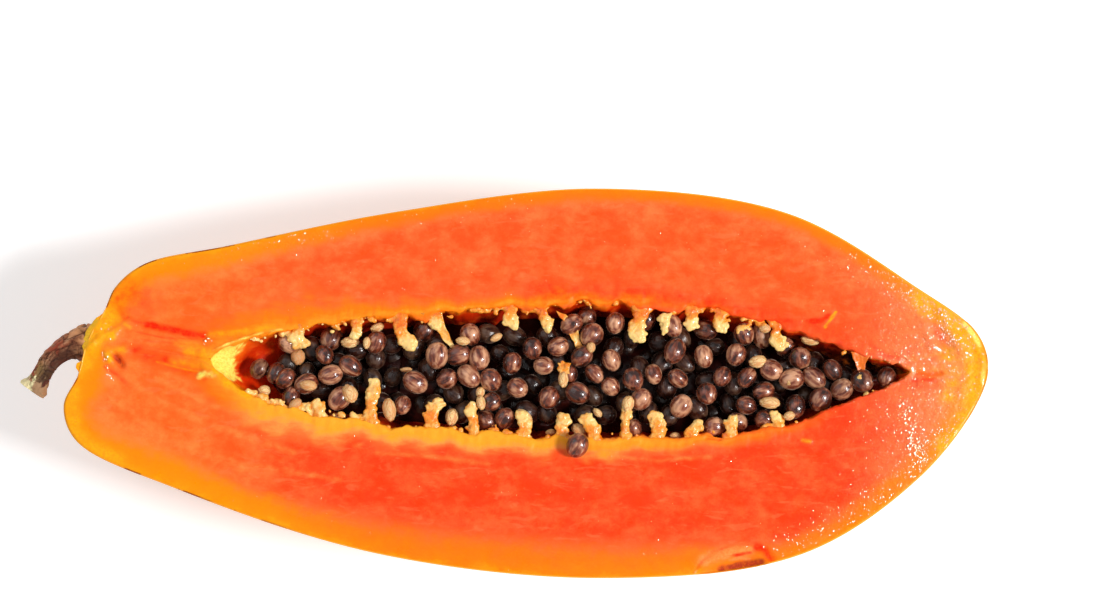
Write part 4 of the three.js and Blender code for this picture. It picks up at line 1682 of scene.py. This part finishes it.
    def build_core(self) -> Piece:
        """Model the bed that the seeds lie in; its finish paints it dark as shade.

        Returns:
            Its mesh.
        """
        rows, steps = 120, 14
        gap = 0.35  # between the bed and the wall
        t = np.linspace(0.21, 0.9, rows)
        middle, chord = FORM.cavity(t)
        full = np.sin(np.pi * t)
        deep = FORM.cavity_depth * full**FORM.end_bluntness - gap
        lid = -np.minimum(np.interp(t, [0.21, 0.3, 0.8, 0.9], [13, 10, 10, 12]), deep - 0.6)
        start = np.arcsin(np.clip(-lid / deep, 0, 1))
        half = lengths(chord)
        inner = (half - gap) / half
        columns = []
        for share in np.linspace(0, 1, steps):
            angle = start + (np.pi - 2 * start) * share
            xy = middle + chord * (np.cos(angle) * inner)[:, None]
            columns.append(np.column_stack([xy, CUT_Z - deep * np.sin(angle)]))
        for side in np.linspace(-1, 1, 40)[1:-1]:
            xy = middle - chord * (np.cos(start) * side * inner)[:, None]
            columns.append(np.column_stack([xy, CUT_Z + lid]))
        columns.append(columns[0])
        place = np.stack(columns, axis=1)
        top = place[:, steps + 1 : -1].reshape(-1, 3)
        place[:, steps + 1 : -1, 2] += (rough(top, 5, 1.1, 3) * 1.1 - 0.6).reshape(rows, -1)
        ends = place.mean(axis=1, keepdims=True)
        place[0], place[-1] = ends[0], ends[-1]
        return lay_grid("seed_bed_painted_shade", place)


# ---- placenta


@dataclass
class Placenta:
    """Threads and crumbs along the rim, and the skins that hang between them."""

    heap: SeedHeap
    flesh: Flesh
    voxel: float = 0.3
    crumb_share: Table = ((0.19, 0.2, 0.3, 0.34, 0.5, 0.75, 0.8), (0, 0.9, 0.85, 0.5, 0.6, 0.35, 0.1))
    crumb_white: Table = ((0.16, 0.28, 0.4), (0.95, 0.75, 0.4))
    blobs: list[tuple[Array, Array, float, float]] = field(default_factory=list)

    def blob(self, place: Sequence[float], sizes: Sequence[float], turn: float, creamy: float) -> None:
        """Add one lump: place and half sizes in millimetres, turn about Z and creaminess."""
        self.blobs.append((np.array(place, float), np.array(sizes, float), turn, creamy))

    def grow_strands(self) -> None:
        """Chain lumps along each thread, thicker and creamier at its tip."""
        rng = np.random.default_rng(21)
        for strand in STRANDS:
            root, tip = strand.ends()
            root = root + (tip - root) * 1.5 / (strand.reach + 3)
            run = tip - root
            count = max(6, int(np.linalg.norm(run) / 0.9))
            angle = math.atan2(run[1], run[0])
            across = np.array([-math.sin(angle), math.cos(angle)])
            waist = 0.55 + 0.35 * rng.random()
            sway = strand.radius * 1.3 * (rng.random() - 0.5)
            low, high = (0.12, 0.95) if strand.side > 0 else (0.34, 0.75)
            for k in range(count):
                share = k / (count - 1)
                pinch = (1 - waist) * math.sin(math.pi * min(share * 1.2, 1))
                width = strand.radius * (1.15 + 2.6 * max(0.4 - share, 0) ** 1.5 - pinch + 0.15 * share**2)
                width *= min(1.0, math.sqrt((1.06 - share) / 0.22))
                curl = 0.4 * share * math.sin(2.3 * share * math.pi + strand.at * 90)
                centre = root + run * share + across * (sway * share**1.6 + strand.radius * curl)
                z = CUT_Z - 1.45 + 0.7 * math.sin(2.2 * share) + 0.25 * (rng.random() - 0.5)
                creamy = float(low + (high - low) * smooth(np.array(share), 0.35, 1.0))
                self.blob((*centre, z), (1.1, 0.85 * width, 0.95), angle + rng.normal() * 0.15, creamy)
                for hand in (-1, 1):
                    xy = centre + across * width * hand * (0.4 + 0.35 * rng.random())
                    size = (0.8 + 0.6 * rng.random(), 0.5 + 0.4 * rng.random(), 0.6 + 0.4 * rng.random())
                    place, turn = (*xy, z - 0.3 + 0.4 * rng.random()), angle + rng.normal() * 0.5
                    self.blob(place, size, turn, creamy + 0.2 * (rng.random() - 0.5))
            for _ in range(int(2 + strand.radius * 2)):
                share = 0.6 + 0.45 * rng.random()
                aside = sway * share**1.6 + strand.radius * 1.7 * (rng.random() - 0.5)
                size = 0.45 + 0.4 * rng.random()
                z = CUT_Z - 1.0 + 0.7 * (rng.random() - 0.4)
                place = (*(root + run * share + across * aside), z)
                self.blob(place, (size, size, size), 0, 0.7 + 0.4 * rng.random())

    def grow_crumbs(self) -> None:
        """Scatter crumbs along the cavity's rim, whiter towards the stem end."""
        rng = np.random.default_rng(22)
        line = self.flesh.torn_rim
        sides = np.where(np.arange(len(line)) < len(line) / 2, 1, -1)
        for spot, along, side in list(zip(line, FORM.along(line[:, 0]), sides))[::2]:
            often = np.interp(along, *self.crumb_share)
            if rng.random() > often * (0.75 + 0.5 * math.sin(along * 210 + side * 2)):
                continue
            size = 0.25 + (0.6 if side > 0 else 0.6 + 0.5 * (along < 0.36)) * rng.random() ** 2
            inward = np.array([0, -side]) * (size * 0.4 + 1.6 * rng.random() ** 2.5)
            z = CUT_Z - 0.2 - size * 0.7 - 0.9 * rng.random()
            white = float(np.interp(along, *self.crumb_white) + 0.4 * (rng.random() - 0.5))
            self.blob((*(spot + inward), z), (size * 1.4, size, size * 0.8), 3 * rng.random(), white)
            if rng.random() < (0.34 if side > 0 else 0.2) and 0.22 < along < 0.8:
                size = (1.0 + 1.2 * rng.random(), 0.8 + 0.8 * rng.random(), 0.9)
                xy = spot + np.array([0, side]) * (0.2 - 0.9 * rng.random())
                place, turn = (*xy, CUT_Z - 1.4 - 0.6 * rng.random()), 1.6 * (rng.random() - 0.5)
                self.blob(place, size, turn, float(0.45 * rng.random() - 0.1))

    def grow_lumps(self) -> None:
        """Add the larger separate lumps: share along and across, half sizes, creaminess."""
        rng = np.random.default_rng(23)
        lumps = (
            (0.254, 0.093, 2.6, 2.1, 0.75), (0.65, 0.158, 2.2, 1.6, 0.85), (0.65, 0.135, 1.2, 2.4, 0.9),
            (0.735, 0.125, 1.6, 1.2, 0.7), (0.776, 0.095, 1.5, 2.0, 0.85), (0.861, 0.0, 0.9, 1.1, 0.8),
            (0.869, -0.044, 0.8, 0.7, 0.9), (0.773, -0.1, 1.3, 1.7, 0.6), (0.54, 0.03, 1.7, 1.6, 0.35),
            (0.272, -0.085, 1.4, 1.9, 0.85), (0.237, -0.078, 2.2, 1.3, 0.45),
            (0.262, -0.072, 1.6, 1.0, 0.6), (0.86, -0.012, 0.9, 0.9, 0.55), (0.2, -0.037, 1.7, 0.8, 0.5),
            (0.213, -0.05, 1.9, 1.0, 0.45), (0.227, -0.062, 1.9, 1.1, 0.5),
        )
        for along, across, length, width, creamy in lumps:
            x, y = FORM.spot(along, across)
            z = float(np.clip(self.heap.height_over(x, y, 1.0), -2.0, -0.8))
            for _ in range(26):
                spread = rng.normal(size=2) * 0.4
                size = 0.45 + 0.5 * rng.random()
                xy = (x + spread[0] * length, y + spread[1] * width)
                place = (*xy, CUT_Z + z + 0.6 * (rng.random() - 0.5))
                self.blob(place, (size, size, size), 0, creamy + 0.25 * (rng.random() - 0.5))

    def build_pith(self) -> Piece:
        """Model all lumps as one crumbly mesh.

        Returns:
            The mesh, with how creamy each vertex is.
        """
        self.grow_strands()
        self.grow_crumbs()
        self.grow_lumps()
        lump = primitive("ico_sphere", subdivisions=2, radius=1)
        matrices = [Matrix.LocRotScale(at, Euler((0, 0, turn)), sizes) for at, sizes, turn, _ in self.blobs]
        piece = copies("placenta_threads", lump, matrices)
        apply_modifier(piece, "REMESH", mode="VOXEL", voxel_size=self.voxel * MM)
        for name in ("own", "copy"):
            if name in piece.data.attributes:
                piece.data.attributes.remove(piece.data.attributes[name])
        edit(piece, lambda: bpy.ops.mesh.vertices_smooth(factor=0.5, repeat=2))
        points, normals = coordinates(piece), read(piece.data.vertex_normals, "vector")
        grain = rough(points, 2.2, 5.5, 3) * 0.3 + rough(points, 0.7, 8.1, 1) * 0.1
        points = points + normals * grain[:, None]
        points[:, 2] = np.minimum(points[:, 2], CUT_Z + 1.0)
        move_vertices(piece, points)
        tree = search_tree(np.array([place for place, *_rest in self.blobs]))
        mark(piece, "creamy", np.array([self.creaminess(tree, p) for p in points.tolist()]))
        select(piece)
        bpy.ops.object.shade_smooth()
        return piece

    def creaminess(self, tree: kdtree.KDTree, point: Sequence[float]) -> float:
        """Average the creaminess of the lumps nearest to a point.

        Args:
            tree: The lumps' places.
            point: The point.

        Returns:
            A value from 0 to 1.
        """
        found = tree.find_n(point, 3)
        weights = [1 / (gap + 0.2) for _, _, gap in found]
        values = [self.blobs[k][3] * weight for (_, k, _), weight in zip(found, weights)]
        return min(max(sum(values) / sum(weights), 0), 1)

    def build_skins(self) -> Piece:
        """Model the thin skins that hang from the upper rim over the seeds.

        Returns:
            One mesh.
        """
        skins = (
            # corners: root left, root right, tip right, tip left, as shares; depth of the tip
            (((0.385, 0.168), (0.408, 0.17), (0.424, 0.076), (0.42, 0.07)), -2.2, 0.35),
            (((0.532, 0.175), (0.556, 0.15), (0.561, 0.085), (0.553, 0.082)), -2.6, 0.2),
            (((0.851, 0.068), (0.872, 0.058), (0.866, 0.004), (0.8605, -0.006)), -2.2, -0.2),
            (((0.775, 0.165), (0.8, 0.15), (0.806, 0.12), (0.792, 0.124)), -0.4, 0.2),
            (((0.534, 0.04), (0.549, 0.04), (0.547, 0.012), (0.536, 0.012)), 0.2, 0.5),
        )
        pieces = []
        for n, (corners, depth, creamy) in enumerate(skins):
            a, b, c, d = (FORM.spot(*corner) for corner in corners)
            v, u = np.meshgrid(np.linspace(0, 1, 26), np.linspace(0, 1, 18), indexing="ij")
            across = 0.5 + (u - 0.5) * (1 - 0.3 * np.sin(np.pi * v))
            weights = ((1 - v) * (1 - across), (1 - v) * across, v * across, v * (1 - across))
            xy = sum(weight[..., None] * corner for weight, corner in zip(weights, (a, b, c, d)))
            sag = -0.5 * np.sin(np.pi * u) * (1 - v) + depth * v
            place = np.concatenate([xy, (CUT_Z - 0.35 + sag)[..., None]], axis=2)
            flat = place.reshape(-1, 3)
            flat += rough(flat, 2.2, 4.0 + n, 2)[:, None] * np.array([0.25, 0.25, 0.35])
            piece = lay_grid(f"skin_{n}", place)
            apply_modifier(piece, "SOLIDIFY", thickness=0.4 * MM, offset=0.0)
            hang = np.clip((a[1] - coordinates(piece)[:, 1]) / 12, 0, 1)
            mark(piece, "creamy", creamy + 0.5 * hang * (n < 2))
            pieces.append(piece)
        select(*pieces)
        bpy.ops.object.join()
        pieces[0].name = pieces[0].data.name = "placenta_skins"
        bpy.ops.object.shade_smooth()
        return pieces[0]


# ---- stem and juice


@dataclass
class Stem:
    """The dried, wrinkled stem with its torn tip."""

    steps: int = 72
    rings: int = 150
    # x, y, z and radius along it, from the fruit outwards
    path: tuple[Quad, ...] = (
        (3, 0.4, -2.4, 6.2), (-0.8, -0.2, -0.7, 6), (-4.6, -0.9, 0.4, 4.6), (-8.6, -3, 0.6, 3.6),
        (-11.7, -6, 0.4, 3.3), (-13.8, -9.1, 0, 3.1), (-15.5, -12.2, -0.4, 3.1), (-16.7, -13.9, -0.6, 2.7),
    )
    flare: Table = ((0, 0.2, 0.35, 0.75, 0.9, 1), (1.05, 1.0, 0.88, 0.88, 1.12, 1.2))
    own_size: Pair = (24, 3.4)  # length and radius in the stem's own coordinates

    def build(self) -> Piece:
        """Model the stem.

        Returns:
            Its mesh, with its own coordinates and marks.
        """
        line = Spline([row[:3] for row in self.path], closed=False)
        width = Spline([(k, row[3]) for k, row in enumerate(self.path)], closed=False)
        foot = np.array([*FORM.spot(0.024, 0.096), CUT_Z - 5.6]) + (-0.35, 0, 0)
        ring = np.linspace(0, 1, self.rings)
        share = np.clip((ring - 0.03) / 0.94, 0, 1)
        centre = line.at(share) + foot
        ahead = line.at(np.clip(share + 0.004, 0, 1)) - line.at(np.clip(share - 0.004, 0, 1))
        ahead /= lengths(ahead)[:, None]
        across = np.column_stack([-ahead[:, 1], ahead[:, 0], np.zeros(self.rings)])
        across /= lengths(across)[:, None]
        up = np.cross(across, ahead)
        up[up[:, 2] < 0] *= -1
        cap = np.sqrt(np.clip(np.minimum(ring, 1 - ring) / 0.03, 0, 1))
        radius = width.at(share)[:, 1] * np.interp(share, *self.flare)
        angle = np.linspace(0, 2 * np.pi, self.steps + 1)
        s, a = np.meshgrid(share, angle, indexing="ij")
        length, thick = self.own_size
        own = np.stack([s * length, np.cos(a) * thick, np.sin(a) * thick], axis=2)
        flat = own.reshape(-1, 3)
        ridge = 0.09 * np.cos(3 * a + 9 * s) + 0.03 * np.cos(7 * a - 5 * s)
        wrinkle = (rough(flat, (3.4, 1.2, 1.2), 1.3, 3) * 0.1).reshape(s.shape)
        long, round_it = rough(flat, (4.5, 2.2, 2.2), 7.7, 2), rough(flat, (1.8, 4.5, 4.5), 3.9, 2)
        lines = np.minimum(np.abs(long), np.abs(round_it) + 0.03)
        crease = smooth(lines, 0.1, 0.02).reshape(s.shape) * smooth(s, 0.86, 0.8)
        scale = 1.0 + ridge * 0.8 + wrinkle - 0.1 * crease
        tear = 1 + 0.34 * smooth(s, 0.8, 0.98) * np.cos(2 * a)
        ragged = (rough(flat, (2.2, 1.2, 1.2), 6.6, 2) * 0.12).reshape(s.shape)
        r = radius[:, None] * np.minimum(scale * tear + ragged * smooth(s, 0.8, 0.95), 1.3) * cap[:, None]
        place = centre[:, None, :] + across[:, None, :] * (r * np.cos(a))[..., None]
        place += up[:, None, :] * (r * np.sin(a))[..., None]
        place[:, -1] = place[:, 0]
        place[..., 0] = np.maximum(place[..., 0], CAD_BOX[0][0] / MM + 0.05)
        return lay_grid(
            "papaya_stem", place, own=own, crease=crease, torn=smooth(s + ragged, 0.77, 0.81)
        )


BEAD_ROWS = (
    # the ends of a line in shares, how far beads stray from it, how many, and their largest half size
    ((0.906, -0.062), (0.924, -0.207), 0.005, 150, 0.42), ((0.94, 0.155), (0.975, 0.075), 0.012, 110, 0.36),
    ((0.905, 0.23), (0.985, 0.13), 0.01, 75, 0.27), ((0.89, 0.0), (0.99, -0.2), 0.045, 300, 0.25),
    ((0.9, 0.09), (0.975, -0.02), 0.02, 140, 0.27), ((0.775, -0.44), (0.905, -0.3), 0.014, 200, 0.26),
    ((0.86, 0.04), (0.92, 0.06), 0.006, 40, 0.34), ((0.91, -0.26), (0.985, -0.1), 0.012, 300, 0.2),
    ((0.89, 0.26), (0.975, 0.14), 0.008, 160, 0.2), ((0.83, 0.33), (0.92, 0.22), 0.012, 60, 0.25),
    ((0.08, 0.33), (0.29, 0.385), 0.008, 130, 0.22), ((0.29, 0.39), (0.5, 0.46), 0.01, 40, 0.18),
    ((0.042, 0.065), (0.05, 0.0), 0.002, 16, 0.25), ((0.04, 0.14), (0.07, 0.11), 0.006, 10, 0.32),
    ((0.152, 0.115), (0.156, 0.085), 0.002, 7, 0.35), ((0.2, -0.3), (0.8, -0.3), 0.06, 60, 0.16),
    ((0.2, 0.3), (0.8, 0.3), 0.06, 60, 0.16),
)


@dataclass
class Juice:
    """Small flat beads of juice on the cut face, most of them at the blossom end."""

    flesh: Flesh
    face: Piece  # the flesh's mesh, which the beads lie on
    glint: Callable[[Vector], Vector]  # finds the way that a bead's top faces
    least_gap: float = 0.9  # from the outline

    def build(self) -> Piece:
        """Model the beads.

        Returns:
            One mesh.
        """
        rng = np.random.default_rng(31)
        pattern = primitive("uv_sphere", segments=8, ring_count=4, radius=1)
        matrices = []
        outline, hollow = self.flesh.edge_points, self.flesh.torn_rim
        bpy.context.view_layer.update()
        for a, b, spread, number, largest in BEAD_ROWS:
            for _ in range(number):
                share = rng.random()
                along = a[0] + (b[0] - a[0]) * share + rng.normal() * spread
                across = a[1] + (b[1] - a[1]) * share + rng.normal() * spread * 2.3
                x, y = FORM.spot(along, across)
                if self.inside(hollow, x, y, 0.0) or not self.inside(outline, x, y, self.least_gap):
                    continue
                size = 0.13 + (largest - 0.1) * rng.random() ** 1.7
                above = Vector((x, y, CUT_Z + 9)) * MM
                hit, found, *_rest = self.face.ray_cast(above, Vector((0, 0, -1)))
                spot = Vector((x, y, found.z / MM + 0.01 if hit else CUT_Z))
                facing = self.glint(spot * MM) + Vector(rng.normal(size=3) * 0.04)
                tilt = Vector((0, 0, 1)).rotation_difference(facing).to_matrix()
                sizes = (size * (0.8 + 1.4 * rng.random()), size * 0.8, size * 0.09)
                turn = Matrix.Rotation(6.28 * rng.random(), 3, "Z")
                matrices.append(Matrix.LocRotScale(spot, tilt @ turn, sizes))
        return copies("juice_beads", pattern, matrices)

    def inside(self, edge: Array, x: float, y: float, gap: float) -> bool:
        """Whether a place is inside a closed line, and clear of it.

        Args:
            edge: The line, as points in order.
            x: The place along the fruit.
            y: The place across.
            gap: Least distance from the line, in millimetres.

        Returns:
            True inside.
        """
        if lengths(edge - (x, y)).min() < gap:
            return False
        a, b = edge, np.roll(edge, -1, axis=0)
        crosses = (a[:, 1] > y) != (b[:, 1] > y)
        with np.errstate(divide="ignore", invalid="ignore"):
            where = a[:, 0] + (y - a[:, 1]) * (b[:, 0] - a[:, 0]) / (b[:, 1] - a[:, 1])
        return bool(np.count_nonzero(crosses & (x < where)) % 2)


# ---- studio


@dataclass
class Studio:
    """A plain pale floor, a soft key from the right, a wide fill and the camera."""

    view: Pair = (-90.0, 82.0)  # where the camera stands: degrees from +X, and above the floor
    lens: float = 85.0
    sensor: float = 36.0
    frame_width: float = 327.0  # what the camera sees at the cut face, in millimetres
    aim: Pair = (-4.4, 22.7)
    key: Pair = (-14.0, 46.0)
    key_distance: float = 2.5

    def glint(self, spot: Vector) -> Vector:
        """Find the way a surface faces where it mirrors the key light into the camera.

        Args:
            spot: The place on the cut face, in metres.

        Returns:
            A direction of length 1.
        """
        ends = (self.way(*self.key) * self.key_distance, self.eye())
        ways = [(end - spot).normalized() for end in ends]
        return (ways[0] + ways[1]).normalized()

    def eye(self) -> Vector:
        """Find the camera's place in metres."""
        aim = Vector((*self.aim, CUT_Z)) * MM
        return aim + self.way(*self.view) * (self.frame_width * self.lens / self.sensor * MM)

    @staticmethod
    def way(azimuth: float, elevation: float) -> Vector:
        """Turn angles in degrees into a direction from the half."""
        a, e = math.radians(azimuth), math.radians(elevation)
        return Vector((math.cos(a) * math.cos(e), math.sin(a) * math.cos(e), math.sin(e)))

    def build_floor(self) -> None:
        """Add the floor."""
        floor = primitive("plane", size=6, location=(0, 0, -0.0002))
        floor.name = "floor"
        material = bpy.data.materials.new("pale_floor")
        material.use_nodes = True
        material.node_tree.nodes.clear()
        w = Wiring(material.node_tree)
        cloud = w.noise(w.add("TexCoord", output="Object"), 6.0, 2.0)
        sockets: Sockets = {
            "Base Color": w.mix(cloud, (0.86, 0.86, 0.86, 1), (0.88, 0.88, 0.88, 1)),
            "Roughness": 0.9,
            "Specular IOR Level": 0.1,
            "Emission Color": (1, 1, 1, 1),
            "Emission Strength": 0.36,
        }
        w.add("OutputMaterial", {"Surface": w.add("BsdfPrincipled", sockets)})
        floor.data.materials.append(material)

    def light(self, name: str, at: Pair, distance: float, size: float, power: float) -> None:
        """Add a square light that faces the half.

        Args:
            name: Its name.
            at: Degrees from +X towards +Y, and above the floor.
            distance: Metres from the half.
            size: Its side in metres.
            power: Its power in watts.
        """
        way = self.way(*at)
        bpy.ops.object.light_add(type="AREA", location=way * distance + Vector((0, 0, 0.04)))
        lamp = bpy.context.object
        lamp.name = name
        lamp.rotation_euler = way.to_track_quat("Z", "Y").to_euler()
        lamp.data.shape, lamp.data.size, lamp.data.energy = "SQUARE", size, power

    def build_lights(self) -> None:
        """Add the lights and the world."""
        self.light("key", self.key, self.key_distance, 0.5, 58.0)
        self.light("fill", (150.0, 50.0), 3.0, 2.5, 14.0)
        world = bpy.data.worlds.new("studio")
        world.use_nodes = True
        background = world.node_tree.nodes["Background"].inputs
        background["Color"].default_value = (1, 1, 1, 1)
        background["Strength"].default_value = 0.42
        bpy.context.scene.world = world
        bpy.context.scene.view_settings.view_transform = "Standard"

    def build_camera(self) -> None:
        """Add the camera, looking down on the cut face."""
        bpy.ops.object.camera_add(location=self.eye())
        camera = bpy.context.object
        camera.name = "camera"
        camera.rotation_euler = self.way(*self.view).to_track_quat("Z", "Y").to_euler()
        camera.data.lens, camera.data.sensor_width, camera.data.clip_start = self.lens, self.sensor, 0.01
        bpy.context.scene.camera = camera


# ---- all together


def main() -> None:
    """Build every piece in order and report each."""
    logging.basicConfig(level=logging.INFO, format="%(name)s: %(message)s")
    palette = Palette()
    flesh = Flesh()
    heap = SeedHeap()
    placenta = Placenta(heap, flesh)
    studio = Studio()
    seed = SeedFinish("wet_seed", 0.22, 0.5, 0.8, 0.25).make(palette)
    pale = PaleSeedFinish("pale_seed", 0.5, 0.35, glow=0.15).make(palette)
    pith = PithFinish("placenta", 0.3, 0.5, 0.25, glow=0.2).make(palette)
    juice = JuiceFinish("juice", 0.06, 0.9).make(palette)
    face = flesh.build()
    settle(face, FleshFinish("papaya_flesh", 0.4, 0.12, glow=0.12).make(palette), "flesh", "papaya_half")
    settle(Peel().build(), PeelFinish("papaya_peel", 0.42, 0.22, 0.06).make(palette), "flesh", "papaya_half")
    settle(heap.build_seeds(), seed, "seeds", "seed_heap")
    settle(heap.build_core(), ShadeBedFinish("seed_bed_painted_shade", 0.4, 0.4).make(palette), "seeds", "seed_heap")
    settle(heap.build_pale(), pale, "seeds", "seed_heap")
    settle(heap.build_stray(), seed, "seeds", "papaya_half")
    settle(placenta.build_pith(), pith, "flesh", "papaya_half")
    settle(placenta.build_skins(), pith, "flesh", "papaya_half")
    settle(Juice(flesh, face, studio.glint).build(), juice, "flesh", "papaya_half")
    settle(Stem().build(), StemFinish("dried_stem", 0.7, 0.25).make(palette), "stem", "stem")
    studio.build_floor()
    studio.build_lights()
    studio.build_camera()


if __name__ == "__main__":
    main()
